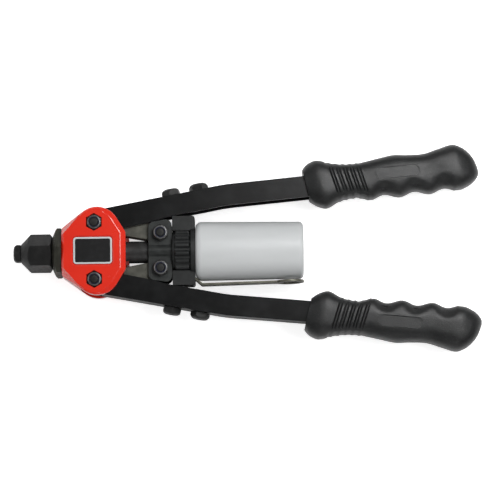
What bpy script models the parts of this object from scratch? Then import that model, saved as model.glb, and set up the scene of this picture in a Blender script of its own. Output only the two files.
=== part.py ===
"""Two-handed blind riveter with long pressed arms and a mandrel bottle.

Metres, +Z up. +X runs along the pull axis from the nosepiece to the grips, +Y points to the
upper arm, and the origin is the middle of the closed tool, which lies with its label up.
The arms hinge on the head. A crank pin in each arm drives a link, and the two links push the
bracket and its pull tube along the axis, so that the jaws in the nose grip and draw a mandrel.
"""

import math

import bmesh
import bpy
from mathutils import Matrix, Vector

# Fits
SEAT_GAP = 0.0003
RUNNING_GAP = 0.0004

# Sides of small and large round pieces
SMALL_ROUND = 16
LARGE_ROUND = 24

# Linkage: pivots of the upper side, the lower side mirrors them in Y
PIVOT_X = -0.1074
PIVOT_Y = 0.0202
BRACKET_PIN_X = -0.0608
BRACKET_PIN_Y = 0.0125
CRANK_RADIUS = 0.0150
ARM_OPENING = math.radians(55)

# Head casting
HEAD_FRONT_X = -0.1304
HEAD_REAR_X = -0.0853
HEAD_HALF_THICKNESS = 0.0155
HEAD_FACE_HALF_WIDTH = 0.0105
HEAD_FRONT_HALF_WIDTH = 0.0170
HEAD_REAR_HALF_WIDTH = 0.0132
HEAD_LOBE_RADIUS = 0.0159
HEAD_LOBE_CENTRE = (-0.1053, 0.0153)
HEAD_FACET_LOW = 0.0080
HEAD_EDGE_BEVEL = 0.0028
HEAD_CORE_HALF_WIDTH = 0.0097
HEAD_FRONT_WALL = 0.0130
HEAD_BOSS_RADIUS = 0.0120
HEAD_BOSS_LENGTH = 0.0030

# Label plate
LABEL_X = -0.1084
LABEL_LENGTH = 0.0272
LABEL_WIDTH = 0.0190
LABEL_CORNER = 0.0022
LABEL_THICKNESS = 0.0006
LABEL_RIM = 0.0010
LABEL_RIM_HEIGHT = 0.0002
LABEL_RECESS_DEPTH = 0.0010

# Bolts and self-locking nuts
BOLT_RADIUS = 0.0030
BOLT_HEAD_FLATS = 0.0100
BOLT_HEAD_HEIGHT = 0.0038
BOLT_END_LENGTH = 0.0004
NUT_FLATS = 0.0100
NUT_HEIGHT = 0.0050
NUT_LIP = 0.0006
INSERT_WALL = 0.0008
INSERT_HEIGHT = 0.0010
POCKET_DEPTH = 0.0045
POCKET_CLEARANCE = 0.0005

# Nose group, front to rear
NOSEPIECE_FLATS = 0.0120
NOSEPIECE_HEAD = 0.0050
NOSEPIECE_FACE_RADIUS = 0.0042
NOSEPIECE_STEM_RADIUS = 0.0048
NOSEPIECE_STEM = 0.0124
NOSEPIECE_TURN = math.radians(-29)
HOUSING_FLATS = 0.0240
HOUSING_LENGTH = 0.0221
HOUSING_FRONT_RADIUS = 0.0067
HOUSING_REAR_CHAMFER = 0.0016
HOUSING_TURN = math.radians(-13)
SPIGOT_RADIUS = 0.0100
SPIGOT_LENGTH = 0.0180
HOUSING_BORE_RADIUS = 0.0085
HOUSING_BORE_CONE = 0.0025
LOCK_NUT_FLATS = 0.0320
LOCK_NUT_LENGTH = 0.0066
LOCK_NUT_TURN = math.radians(-22)

# Chuck and pull tube
TUBE_RADIUS = 0.0078
TUBE_BORE_RADIUS = 0.0026
TUBE_SPIGOT_RADIUS = 0.0056
TUBE_SPIGOT_LENGTH = 0.0070
TUBE_COLLAR_RADIUS = 0.0061
TUBE_COLLAR_HALF_WIDTH = 0.0056
TUBE_STEM_RADIUS = 0.0046
JAW_CASE_LENGTH = 0.0245
JAW_CASE_MOUTH_RADIUS = 0.0036
JAW_CASE_BORE_RADIUS = 0.0060
JAW_CASE_CONE = 0.0090
JAW_CASE_TAPER = 0.0035
JAW_LENGTH = 0.0085
JAW_BITE_RADIUS = 0.0012
JAW_PARTING = 0.0006
JAW_TRAVEL = 0.0020
PUSHER_LENGTH = 0.0026
SPRING_WIRE_RADIUS = 0.0005
SPRING_COILS = 4

# Arms, pressed from sheet as channels
SHEET = 0.0022
ARM_ANGLE = math.radians(10.65)
ARM_BACK_OFFSET = 0.0089
ARM_WIDTH = 0.0149
ARM_HALF_DEPTH = 0.0090
ARM_EDGE_RADIUS = 0.0032
ARM_BEND_REACH = 0.0951
ARM_BEND = math.radians(5.35)
ARM_BEND_RADIUS = 0.1500
ARM_TAIL_LENGTH = 0.1500
ARM_LUG_RADIUS = 0.0062
ARM_LUG_SHOULDER = 0.0075
ARM_LUG_REACH = 0.0500
ARM_WEB_START = 0.0060
BUSH_RADIUS = 0.0045
CRANK_PIN_RADIUS = 0.0030
SPARE_PLACES = (0.0570, 0.0770)
SPARE_TURNS = (math.radians(8), math.radians(38))

# Links
LINK_HALF_THICKNESS = 0.0060
LINK_EYE_RADIUS = 0.0060
LINK_SLOT_WALL = 0.0019
LINK_SLOT_SAMPLES = 8

# Bracket
BRACKET_SHEET = 0.0026
BRACKET_INNER_FACE = 0.0064
BRACKET_LENGTH = 0.0165
BRACKET_PIN_SETBACK = 0.0079
BRACKET_FRONT_HALF_WIDTH = 0.0202
BRACKET_REAR_HALF_WIDTH = 0.0228
BRACKET_CORNER = 0.0042
BRACKET_RIB_RADIUS = 0.00465
BRACKET_RIB_WALL = 0.0022

# Bottle holder
HOLDER_LENGTH = 0.0160
HOLDER_NECK_RADIUS = 0.0145
HOLDER_RIB_BASE_RADIUS = 0.0160
HOLDER_RIB_RADIUS = 0.0173
HOLDER_RIB_WIDTH = 0.0030
HOLDER_RIBS = 18
HOLDER_NECK_LENGTH = 0.0018
HOLDER_BAND_LENGTH = 0.0036
HOLDER_WING_HALF_WIDTH = 0.0245
HOLDER_WING_HALF_DEPTH = 0.0085
HOLDER_WING_CORNER = 0.0016
HOLDER_FLOOR = 0.0062

# Bottle
BOTTLE_LENGTH = 0.0763
BOTTLE_FRONT_RADIUS = 0.0209
BOTTLE_REAR_RADIUS = 0.0203
BOTTLE_SHOULDER_CURVE = 0.0045
BOTTLE_BASE_CURVE = 0.0032
BOTTLE_NECK_RADIUS = 0.0130
BOTTLE_NECK_LENGTH = 0.0090
BOTTLE_WALL = 0.0013
BOTTLE_SIDES = 28

# Nosepiece spanner
SPANNER_THICKNESS = 0.0017
SPANNER_HALF_WIDTH = 0.0045
SPANNER_HEAD_RADIUS = 0.0100
SPANNER_ROOT = (-0.0392, -0.0171)
SPANNER_KNEE = (-0.0319, -0.0238)
SPANNER_END = (0.0402, -0.0221)
SPANNER_SLOT_DEPTH = 0.0034

# Grips, in the frame of the rear stretch of the arm: along it, and outward from its back
GRIP_SOCKET_DEPTH = 0.0922
GRIP_LEAN = 0.148
GRIP_LEAN_CENTRE = -0.0070
GRIP_EXPONENT = 3.0
GRIP_SIDES = 16
GRIP_OUTER_RAIL = ((0.0578, 0.0050), (0.0610, 0.0080), (0.0650, 0.0100), (0.0690, 0.0109),
                   (0.0790, 0.0083), (0.0886, 0.0064), (0.1005, 0.0062), (0.1120, 0.0076),
                   (0.1234, 0.0090), (0.1330, 0.0080), (0.1450, 0.0076), (0.1563, 0.0100),
                   (0.1670, 0.0119), (0.1735, 0.0086), (0.1766, 0.0049), (0.1788, 0.0006),
                   (0.1799, -0.0041), (0.1802, -0.0070))
GRIP_INNER_RAIL = ((0.0578, -0.0176), (0.0625, -0.0215), (0.0688, -0.0234), (0.0782, -0.0197),
                   (0.0896, -0.0184), (0.1646, -0.0201),
                   (0.1711, -0.0181), (0.1750, -0.0160), (0.1780, -0.0134), (0.1797, -0.0110),
                   (0.1802, -0.0092))
GRIP_DEPTH_RAIL = ((0.0578, 0.0122), (0.0690, 0.0142), (0.0810, 0.0128), (0.1005, 0.0122),
                   (0.1234, 0.0130), (0.1450, 0.0124), (0.1650, 0.0140), (0.1735, 0.0118),
                   (0.1766, 0.0098), (0.1788, 0.0071), (0.1799, 0.0040), (0.1802, 0.0020))
FINGER_START = 0.0890
FINGER_END = 0.1607
FINGER_CREST = 0.1000
FINGER_PITCH = 0.0214
FINGER_LINE = -0.0196
FINGER_DEPTH = 0.0014
GROOVE_FIRST = 0.0745
GROOVE_PITCH = 0.0044
GROOVE_COUNT = 6
GROOVE_WIDTH = 0.0016
GROOVE_DEPTH = 0.0007
PANEL_PLACE = (0.1225, -0.0048)
PANEL_LENGTH = 0.0310
PANEL_WIDTH = 0.0085
PANEL_DEPTH = 0.0010

# Places that follow from the sizes above
UP = 1
DOWN = -1
HOLE_RADIUS = BOLT_RADIUS + SEAT_GAP
CHEEK_INNER_FACE = ARM_HALF_DEPTH + SEAT_GAP
POCKET_FLOOR = HEAD_HALF_THICKNESS - POCKET_DEPTH
LOCK_NUT_REAR_X = HEAD_FRONT_X - SEAT_GAP
LOCK_NUT_FRONT_X = LOCK_NUT_REAR_X - LOCK_NUT_LENGTH
HOUSING_HEX_REAR_X = LOCK_NUT_FRONT_X - SEAT_GAP
HOUSING_FRONT_X = HOUSING_HEX_REAR_X - HOUSING_LENGTH
HOUSING_REAR_X = HOUSING_HEX_REAR_X + SPIGOT_LENGTH
NOSEPIECE_SEAT_X = HOUSING_FRONT_X - SEAT_GAP
NOSEPIECE_TIP_X = NOSEPIECE_SEAT_X - NOSEPIECE_HEAD
NOSEPIECE_REAR_X = NOSEPIECE_SEAT_X + NOSEPIECE_STEM
BRACKET_FRONT_X = BRACKET_PIN_X - (BRACKET_LENGTH - BRACKET_PIN_SETBACK)
BRACKET_REAR_X = BRACKET_PIN_X + BRACKET_PIN_SETBACK
BRACKET_OUTER_FACE = BRACKET_INNER_FACE + BRACKET_SHEET
HOLDER_FRONT_X = BRACKET_REAR_X + SEAT_GAP
HOLDER_REAR_X = HOLDER_FRONT_X + HOLDER_LENGTH
HOLDER_FLOOR_X = HOLDER_FRONT_X + HOLDER_FLOOR
BOTTLE_FRONT_X = HOLDER_REAR_X + SEAT_GAP
BOTTLE_REAR_X = BOTTLE_FRONT_X + BOTTLE_LENGTH
COLLAR_FRONT_X = BRACKET_FRONT_X - SEAT_GAP
PIVOT_TO_PIN = math.hypot(BRACKET_PIN_X - PIVOT_X, BRACKET_PIN_Y - PIVOT_Y)
REST_SLOPE = math.atan2(BRACKET_PIN_Y - PIVOT_Y, BRACKET_PIN_X - PIVOT_X)
LINK_LENGTH = PIVOT_TO_PIN - CRANK_RADIUS

NOSE_FORWARD = Matrix.Rotation(math.radians(-90), 4, 'Y')

STEEL_BLACK = ((0.025, 0.025, 0.026), 0.45, 0.7)
STEEL_GREY = ((0.14, 0.14, 0.115), 0.45, 0.8)
STEEL_BRIGHT = ((0.45, 0.45, 0.46), 0.35, 1.0)
PAINT_RED = ((0.72, 0.035, 0.018), 0.3, 0.0)
PAINT_BLACK = ((0.03, 0.032, 0.033), 0.5, 0.0)
RUBBER_GREY = ((0.05, 0.052, 0.053), 0.75, 0.0)
PLASTIC_BLACK = ((0.035, 0.037, 0.038), 0.5, 0.0)
PLASTIC_WHITE = ((0.62, 0.64, 0.65), 0.4, 0.0)
NYLON_BLUE = ((0.02, 0.03, 0.09), 0.5, 0.0)


def new_collection(name):
    collection = bpy.data.collections.new(name)
    bpy.context.scene.collection.children.link(collection)
    return collection


def clear_scene():
    for thing in list(bpy.data.objects):
        bpy.data.objects.remove(thing)


def carrier(mesh, name="carrier"):
    """Put a mesh on an object of the cutters' collection, as a wire that doesn't render."""
    thing = bpy.data.objects.new(name, mesh)
    thing.hide_render = True
    thing.display_type = 'WIRE'
    CUTTERS.objects.link(thing)
    return thing


def evaluated(thing):
    """Mesh of an object with its modifiers, after which the object is removed."""
    bpy.context.view_layer.update()
    graph = bpy.context.evaluated_depsgraph_get()
    mesh = bpy.data.meshes.new_from_object(thing.evaluated_get(graph))
    bpy.data.objects.remove(thing)
    return mesh


def mesh_of(builder):
    mesh = bpy.data.meshes.new("solid")
    builder.to_mesh(mesh)
    builder.free()
    return mesh


def box(x_range, y_range, z_range):
    """Block between two values along each axis."""
    builder = bmesh.new()
    bmesh.ops.create_cube(builder, size=1.0)
    ranges = (x_range, y_range, z_range)
    size = [high - low for low, high in ranges]
    middle = [(high + low) / 2 for low, high in ranges]
    place = Matrix.Translation(middle) @ Matrix.Diagonal((*size, 1.0))
    bmesh.ops.transform(builder, matrix=place, verts=builder.verts)
    return mesh_of(builder)


def rod(radius, low, high, sides=SMALL_ROUND, middle=(0.0, 0.0)):
    """Round bar along Z."""
    builder = bmesh.new()
    place = Matrix.Translation((middle[0], middle[1], (low + high) / 2))
    bmesh.ops.create_cone(builder, cap_ends=True, segments=sides, radius1=radius,
                          radius2=radius, depth=high - low, matrix=place)
    return mesh_of(builder)


def hexagon(flats, low, high, middle=(0.0, 0.0), turn=0.0):
    """Hexagon bar along Z, with two of its corners on Y before it is turned."""
    builder = bmesh.new()
    corner_radius = flats / math.sqrt(3)
    place = Matrix.Translation((middle[0], middle[1], (low + high) / 2))
    place = place @ Matrix.Rotation(turn, 4, 'Z')
    bmesh.ops.create_cone(builder, cap_ends=True, segments=6, radius1=corner_radius,
                          radius2=corner_radius, depth=high - low, matrix=place)
    return mesh_of(builder)


def turned(profile, sides=LARGE_ROUND, ring=False):
    """Revolve (place, radius) pairs about Z. They run down the outer side, as place grows
    towards -Z, and a ring closes on itself."""
    points = [(radius, 0.0, -place) for place, radius in profile]
    edges = [(index, index + 1) for index in range(len(points) - 1)]
    if ring:
        edges.append((len(points) - 1, 0))
    mesh = bpy.data.meshes.new("profile")
    mesh.from_pydata(points, edges, [])
    thing = carrier(mesh)
    screw = thing.modifiers.new("Screw", 'SCREW')
    screw.steps = sides
    screw.render_steps = sides
    screw.use_merge_vertices = True
    screw.merge_threshold = 0.00001
    weld = thing.modifiers.new("Weld", 'WELD')
    weld.merge_threshold = 0.00001
    return evaluated(thing)


def plate(outline, low, high):
    """Flat piece along Z, cut to a closed outline."""
    curve = bpy.data.curves.new("outline", 'CURVE')
    curve.dimensions = '2D'
    curve.fill_mode = 'BOTH'
    curve.extrude = (high - low) / 2
    spline = curve.splines.new('POLY')
    spline.points.add(len(outline) - 1)
    for point, (x, y) in zip(spline.points, outline):
        point.co = (x, y, 0.0, 1.0)
    spline.use_cyclic_u = True
    builder = bmesh.new()
    builder.from_mesh(evaluated(carrier(curve)))
    bmesh.ops.remove_doubles(builder, verts=builder.verts, dist=0.000001)
    bmesh.ops.dissolve_limit(builder, angle_limit=math.radians(0.1),
                             verts=builder.verts, edges=builder.edges)
    bmesh.ops.translate(builder, verts=builder.verts, vec=(0.0, 0.0, (high + low) / 2))
    bmesh.ops.recalc_face_normals(builder, faces=builder.faces)
    return mesh_of(builder)


def bevelled(mesh, width, steps, chosen):
    """Round the edges for which chosen(start, end) is true."""
    builder = bmesh.new()
    builder.from_mesh(mesh)
    edges = [edge for edge in builder.edges if chosen(edge.verts[0].co, edge.verts[1].co)]
    bmesh.ops.bevel(builder, geom=edges, offset=width, segments=steps, profile=0.5,
                    affect='EDGES', clamp_overlap=True)
    bmesh.ops.remove_doubles(builder, verts=builder.verts, dist=0.000001)
    return mesh_of(builder)


def combined(mesh, tools, operation):
    work = carrier(mesh)
    helpers = [carrier(tool) for tool in tools]
    for helper in helpers:
        boolean = work.modifiers.new("Boolean", 'BOOLEAN')
        boolean.operation = operation
        boolean.object = helper
    result = evaluated(work)
    for helper in helpers:
        bpy.data.objects.remove(helper)
    return result


def cut(mesh, *tools):
    return combined(mesh, tools, 'DIFFERENCE')


def joined(mesh, *tools):
    return combined(mesh, tools, 'UNION')


def shared(mesh, *tools):
    return combined(mesh, tools, 'INTERSECT')


def moved(mesh, matrix):
    mesh.transform(matrix)
    if matrix.determinant() < 0:
        mesh.flip_normals()
    return mesh


def along_x(mesh):
    """Lay a piece that was made along Z on the pull axis, its top towards the nose."""
    return moved(mesh, NOSE_FORWARD)


def frame(name, location, rotation=(0.0, 0.0, 0.0), parent=None):
    """Empty on a joint's axis, or on the line that its pieces are made along."""
    empty = bpy.data.objects.new(name, None)
    empty.location = location
    empty.rotation_euler = rotation
    empty.parent = parent
    FRAMES.objects.link(empty)
    return empty


def piece(name, mesh, finish, parent=None, location=(0.0, 0.0, 0.0), rotation=(0.0, 0.0, 0.0)):
    """Named sub-part with its own material. The location is in the parent's frame."""
    colour, roughness, metallic = finish
    material = bpy.data.materials.new(name)
    material.use_nodes = True
    shader = material.node_tree.nodes["Principled BSDF"]
    shader.inputs["Base Color"].default_value = (*colour, 1.0)
    shader.inputs["Roughness"].default_value = roughness
    shader.inputs["Metallic"].default_value = metallic
    own = mesh.copy()
    own.name = name
    own.materials.clear()
    own.materials.append(material)
    own.shade_smooth()
    own.set_sharp_from_angle(angle=math.radians(32))
    thing = bpy.data.objects.new(name, own)
    thing.parent = parent
    thing.location = location
    thing.rotation_euler = rotation
    PARTS.objects.link(thing)
    return thing


def arc(middle, radius, start, end, steps):
    """Points on an arc from one angle to another, both ends included."""
    angles = [start + (end - start) * index / steps for index in range(steps + 1)]
    return [(middle[0] + radius * math.cos(angle), middle[1] + radius * math.sin(angle))
            for angle in angles]


def rounded_rectangle(x_range, y_range, corners, steps=4):
    """Outline with one radius each for the corners at +X+Y, -X+Y, -X-Y and +X-Y."""
    outline = []
    signs = ((1, 1), (-1, 1), (-1, -1), (1, -1))
    for quarter, ((sign_x, sign_y), radius) in enumerate(zip(signs, corners)):
        x = x_range[1] - radius if sign_x > 0 else x_range[0] + radius
        y = y_range[1] - radius if sign_y > 0 else y_range[0] + radius
        start = quarter * math.pi / 2
        outline += arc((x, y), radius, start, start + math.pi / 2, steps)
    return outline


def rounded_corner(before, corner, after, radius, steps=4):
    """Arc that replaces a corner between two straight stretches."""
    corner = Vector(corner)
    first = (Vector(before) - corner).normalized()
    second = (Vector(after) - corner).normalized()
    half = first.angle(second) / 2
    middle = corner + (first + second).normalized() * (radius / math.sin(half))
    run = radius / math.tan(half)
    start = corner + first * run - middle
    end = corner + second * run - middle
    start_angle = math.atan2(start.y, start.x)
    sweep = math.remainder(math.atan2(end.y, end.x) - start_angle, 2 * math.pi)
    return arc(middle, radius, start_angle, start_angle + sweep, steps)


def wrapped(circles, steps=20):
    """Outline of a belt round circles, each an (x, y, radius)."""
    points = set()
    for x, y, radius in circles:
        for index in range(steps):
            angle = 2 * math.pi * index / steps
            points.add((round(x + radius * math.cos(angle), 7),
                        round(y + radius * math.sin(angle), 7)))
    points = sorted(points)

    def half_belt(ordered):
        belt = []
        for point in ordered:
            while len(belt) > 1:
                ax, ay = belt[-1][0] - belt[-2][0], belt[-1][1] - belt[-2][1]
                bx, by = point[0] - belt[-1][0], point[1] - belt[-1][1]
                if ax * by - ay * bx > 1e-10:
                    break
                belt.pop()
            belt.append(point)
        return belt[:-1]

    return half_belt(points) + half_belt(points[::-1])


def touching_angle(point, middle, radius, side):
    """Angle on a circle at which a straight line from the point touches it."""
    x, y = point[0] - middle[0], point[1] - middle[1]
    return math.atan2(y, x) + side * math.acos(radius / math.hypot(x, y))


def smooth_rail(rail, place):
    """Value at a place on a curve that passes evenly through (place, value) pairs."""
    last = len(rail) - 2
    index = max(i for i in range(last + 1) if i == 0 or rail[i][0] <= place)
    (x1, y1), (x2, y2) = rail[index], rail[index + 1]
    x0, y0 = rail[max(index - 1, 0)]
    x3, y3 = rail[min(index + 2, len(rail) - 1)]
    span = x2 - x1
    slope_1 = (y2 - y0) / (x2 - x0) * span
    slope_2 = (y3 - y1) / (x3 - x1) * span
    t = min(max((place - x1) / span, 0.0), 1.0)
    return ((2 * t ** 3 - 3 * t ** 2 + 1) * y1 + (t ** 3 - 2 * t ** 2 + t) * slope_1
            + (3 * t ** 2 - 2 * t ** 3) * y2 + (t ** 3 - t ** 2) * slope_2)


# Linkage geometry

def bracket_shift(opening):
    """How far the bracket has moved towards the nose when the arms are open by an angle."""
    pin_y = PIVOT_Y + CRANK_RADIUS * math.sin(REST_SLOPE + opening)
    pin_x = PIVOT_X + CRANK_RADIUS * math.cos(REST_SLOPE + opening)
    rise = pin_y - BRACKET_PIN_Y
    return BRACKET_PIN_X - (pin_x + math.sqrt(LINK_LENGTH ** 2 - rise ** 2))


def link_turn(opening):
    """How far a link has turned when the arms are open by an angle."""
    rise = PIVOT_Y + CRANK_RADIUS * math.sin(REST_SLOPE + opening) - BRACKET_PIN_Y
    return REST_SLOPE + math.asin(rise / LINK_LENGTH)


def crank_pin_path():
    """Path of the crank pin in the link's own frame, x from the bracket pin to the eye, while
    bracket and link move in steady proportion to the arm."""
    full_shift = bracket_shift(ARM_OPENING)
    full_turn = link_turn(ARM_OPENING)
    path = []
    for index in range(LINK_SLOT_SAMPLES + 1):
        share = index / LINK_SLOT_SAMPLES
        crank = REST_SLOPE + ARM_OPENING * share
        slope = REST_SLOPE - full_turn * share
        x = PIVOT_X + CRANK_RADIUS * math.cos(crank) - (BRACKET_PIN_X - full_shift * share)
        y = PIVOT_Y + CRANK_RADIUS * math.sin(crank) - BRACKET_PIN_Y
        along = -x * math.cos(slope) - y * math.sin(slope)
        across = x * math.sin(slope) - y * math.cos(slope)
        path.append((along, across))
    return path


STROKE = bracket_shift(ARM_OPENING)
JAW_TIP_X = NOSEPIECE_REAR_X + SEAT_GAP + STROKE - JAW_TRAVEL
JAW_CASE_FRONT_X = JAW_TIP_X + 0.0018
TUBE_FRONT_X = JAW_CASE_FRONT_X + JAW_CASE_LENGTH - TUBE_SPIGOT_LENGTH


# Head

def head_outline():
    front = (HEAD_FRONT_X, HEAD_FRONT_HALF_WIDTH)
    rear = (HEAD_REAR_X, HEAD_REAR_HALF_WIDTH)
    middle = HEAD_LOBE_CENTRE
    start = touching_angle(front, middle, HEAD_LOBE_RADIUS, -1) % (2 * math.pi)
    end = touching_angle(rear, middle, HEAD_LOBE_RADIUS, 1)
    upper = [front] + arc(middle, HEAD_LOBE_RADIUS, start, end, 8) + [rear]
    return upper + [(x, -y) for x, y in reversed(upper)]


def head_facet(side, face):
    """Block beyond the slanted facet that narrows a face of the head towards the nose."""
    reach = touching_angle((HEAD_FRONT_X, HEAD_FACE_HALF_WIDTH), HEAD_LOBE_CENTRE,
                           HEAD_LOBE_RADIUS, -1)
    along = Vector((-math.sin(reach), math.cos(reach) * side, 0.0))
    top = Vector((HEAD_FRONT_X, HEAD_FACE_HALF_WIDTH * side, HEAD_HALF_THICKNESS * face))
    low = Vector((HEAD_FRONT_X, HEAD_FRONT_HALF_WIDTH * side, HEAD_FACET_LOW * face))
    outward = along.cross(low - top).normalized()
    if outward.y * side < 0:
        outward = -outward
    across = outward.cross(along).normalized()
    basis = Matrix((along.normalized(), across, outward)).transposed().to_4x4()
    block = box((-0.05, 0.05), (-0.05, 0.05), (0.0, 0.03))
    return moved(block, Matrix.Translation(top) @ basis)


def head_casting():
    rim = HEAD_HALF_THICKNESS

    def on_rim(start, end):
        return abs(start.z - end.z) < 1e-6 and abs(abs(start.z) - rim) < 1e-6

    body = bevelled(plate(head_outline(), -rim, rim), HEAD_EDGE_BEVEL, 2, on_rim)
    body = cut(body, *(head_facet(side, face) for side in (UP, DOWN) for face in (UP, DOWN)))
    boss_end = HEAD_REAR_X + HEAD_BOSS_LENGTH
    boss = along_x(rod(HEAD_BOSS_RADIUS, -boss_end, -HEAD_REAR_X + 0.010, LARGE_ROUND))
    body = joined(body, boss)
    past = 0.005
    bore = TUBE_RADIUS + RUNNING_GAP
    spigot_bore = SPIGOT_RADIUS + SEAT_GAP
    spigot_end = HOUSING_REAR_X + SEAT_GAP
    passage = along_x(turned([(HEAD_FRONT_X - past, 0.0), (HEAD_FRONT_X - past, spigot_bore),
                              (spigot_end, spigot_bore), (spigot_end, bore),
                              (boss_end + past, bore), (boss_end + past, 0.0)]))
    tools = [passage]
    slot_front = HEAD_FRONT_X + HEAD_FRONT_WALL
    slot_rear = boss_end + past
    slot_side = HEAD_LOBE_CENTRE[1] + HEAD_LOBE_RADIUS + past
    for side in (UP, DOWN):
        y_range = sorted((side * HEAD_CORE_HALF_WIDTH, side * slot_side))
        tools.append(box((slot_front, slot_rear), y_range, (-CHEEK_INNER_FACE, CHEEK_INNER_FACE)))
        place = (PIVOT_X, side * PIVOT_Y)
        tools.append(rod(HOLE_RADIUS, -rim - past, rim + past, SMALL_ROUND, place))
        nut_flats = NUT_FLATS + 2 * POCKET_CLEARANCE
        head_flats = BOLT_HEAD_FLATS + 2 * POCKET_CLEARANCE
        tools.append(hexagon(nut_flats, POCKET_FLOOR, rim + past, place))
        tools.append(hexagon(head_flats, -rim - past, -POCKET_FLOOR, place))
    half_length = LABEL_LENGTH / 2 + SEAT_GAP
    half_width = LABEL_WIDTH / 2 + SEAT_GAP
    recess = rounded_rectangle((LABEL_X - half_length, LABEL_X + half_length),
                               (-half_width, half_width), [LABEL_CORNER + SEAT_GAP] * 4)
    tools.append(plate(recess, rim - LABEL_RECESS_DEPTH, rim + past))
    piece("head_casting", cut(body, *tools), PAINT_RED)


def label_plate():
    half_length = LABEL_LENGTH / 2
    half_width = LABEL_WIDTH / 2
    low = HEAD_HALF_THICKNESS - LABEL_RECESS_DEPTH + SEAT_GAP
    high = low + LABEL_THICKNESS
    outline = rounded_rectangle((LABEL_X - half_length, LABEL_X + half_length),
                                (-half_width, half_width), [LABEL_CORNER] * 4)
    inner_length = half_length - LABEL_RIM
    inner_width = half_width - LABEL_RIM
    field = rounded_rectangle((LABEL_X - inner_length, LABEL_X + inner_length),
                              (-inner_width, inner_width), [LABEL_CORNER - LABEL_RIM] * 4)
    field_cut = plate(field, high - LABEL_RIM_HEIGHT, high + LABEL_THICKNESS)
    piece("label_plate", cut(plate(outline, low, high), field_cut), STEEL_BRIGHT)


# Fasteners

def bolt_mesh(head_seat, end):
    """Hexagon bolt along Z, with its head below head_seat and its point at end."""
    low = head_seat - BOLT_HEAD_HEIGHT
    corner = BOLT_HEAD_FLATS / math.sqrt(3)
    flat = BOLT_HEAD_FLATS / 2
    envelope = turned([(-head_seat, 0.0), (-head_seat, corner + 0.001),
                       (-low - 0.0009, corner + 0.0001), (-low, flat - 0.0004), (-low, 0.0)],
                      SMALL_ROUND)
    head = shared(hexagon(BOLT_HEAD_FLATS, low, head_seat), envelope)
    chamfer = BOLT_RADIUS / 5
    shank = turned([(-end, 0.0), (-end, BOLT_RADIUS - chamfer), (-end + chamfer, BOLT_RADIUS),
                    (-head_seat + 0.0005, BOLT_RADIUS), (-head_seat + 0.0005, 0.0)], SMALL_ROUND)
    return joined(head, shank)


def nut_mesh():
    """Self-locking nut along Z from 0 to its height: hexagon, rolled lip and insert seat."""
    corner = NUT_FLATS / math.sqrt(3)
    lip = NUT_FLATS / 2 - 0.0002
    top = NUT_HEIGHT
    envelope = turned([(-top, 0.0), (-top, lip - 0.0006), (-top + NUT_LIP, lip),
                       (-top + NUT_LIP + 0.0006, corner + 0.0001), (0.0, corner + 0.0001),
                       (0.0, 0.0)], SMALL_ROUND)
    blank = shared(hexagon(NUT_FLATS, 0.0, top), envelope)
    seat_radius = HOLE_RADIUS + INSERT_WALL + SEAT_GAP
    seat = rod(seat_radius, top - INSERT_HEIGHT - SEAT_GAP, top + 0.001)
    return cut(blank, rod(HOLE_RADIUS, -0.001, top + 0.001), seat)


def insert_mesh():
    """Nylon ring in the top of a self-locking nut."""
    low = NUT_HEIGHT - INSERT_HEIGHT
    outer = HOLE_RADIUS + INSERT_WALL
    return turned([(-NUT_HEIGHT, HOLE_RADIUS), (-NUT_HEIGHT, outer), (-low, outer),
                   (-low, HOLE_RADIUS)], SMALL_ROUND, ring=True)


def head_fasteners(nut, insert):
    nut_seat = POCKET_FLOOR + SEAT_GAP
    end = nut_seat + NUT_HEIGHT + BOLT_END_LENGTH
    bolt = bolt_mesh(-nut_seat, end)
    half_bush = CHEEK_INNER_FACE - SEAT_GAP
    bush = cut(rod(BUSH_RADIUS, -half_bush, half_bush), rod(HOLE_RADIUS, -0.02, 0.02))
    for side, word in ((UP, "upper"), (DOWN, "lower")):
        place = (PIVOT_X, side * PIVOT_Y, 0.0)
        top = (PIVOT_X, side * PIVOT_Y, nut_seat)
        piece("head_pivot_bolt_" + word, bolt, STEEL_GREY, None, place)
        piece("arm_pivot_bush_" + word, bush, STEEL_GREY, None, place)
        piece("head_pivot_nut_" + word, nut, STEEL_BRIGHT, None, top)
        piece("head_nut_insert_" + word, insert, NYLON_BLUE, None, top)


# Nose

def nosepiece_mesh():
    """Nosepiece along Z, its working face at the top, with its seat at 0."""
    corner = NOSEPIECE_FLATS / math.sqrt(3)
    tip = -NOSEPIECE_HEAD
    dome = turned([(tip, 0.0), (tip, NOSEPIECE_FACE_RADIUS), (tip + 0.0011, 0.0060),
                   (tip + 0.0029, corner + 0.0001), (0.0, corner + 0.0001), (0.0, 0.0)],
                  SMALL_ROUND)
    head = shared(hexagon(NOSEPIECE_FLATS, 0.0, NOSEPIECE_HEAD), dome)
    chamfer = 0.0008
    stem = turned([(-0.0005, 0.0), (-0.0005, NOSEPIECE_STEM_RADIUS),
                   (NOSEPIECE_STEM - chamfer, NOSEPIECE_STEM_RADIUS),
                   (NOSEPIECE_STEM, NOSEPIECE_STEM_RADIUS - chamfer), (NOSEPIECE_STEM, 0.0)],
                  SMALL_ROUND)
    bore = 0.0020
    return cut(joined(head, stem), rod(bore, -NOSEPIECE_STEM - 0.001, NOSEPIECE_HEAD + 0.001, 12))


def nosepiece(mesh):
    turn = NOSE_FORWARD @ Matrix.Rotation(NOSEPIECE_TURN, 4, 'Z')
    piece("nosepiece", mesh, STEEL_BLACK, None, (NOSEPIECE_SEAT_X, 0.0, 0.0), turn.to_euler())


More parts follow.
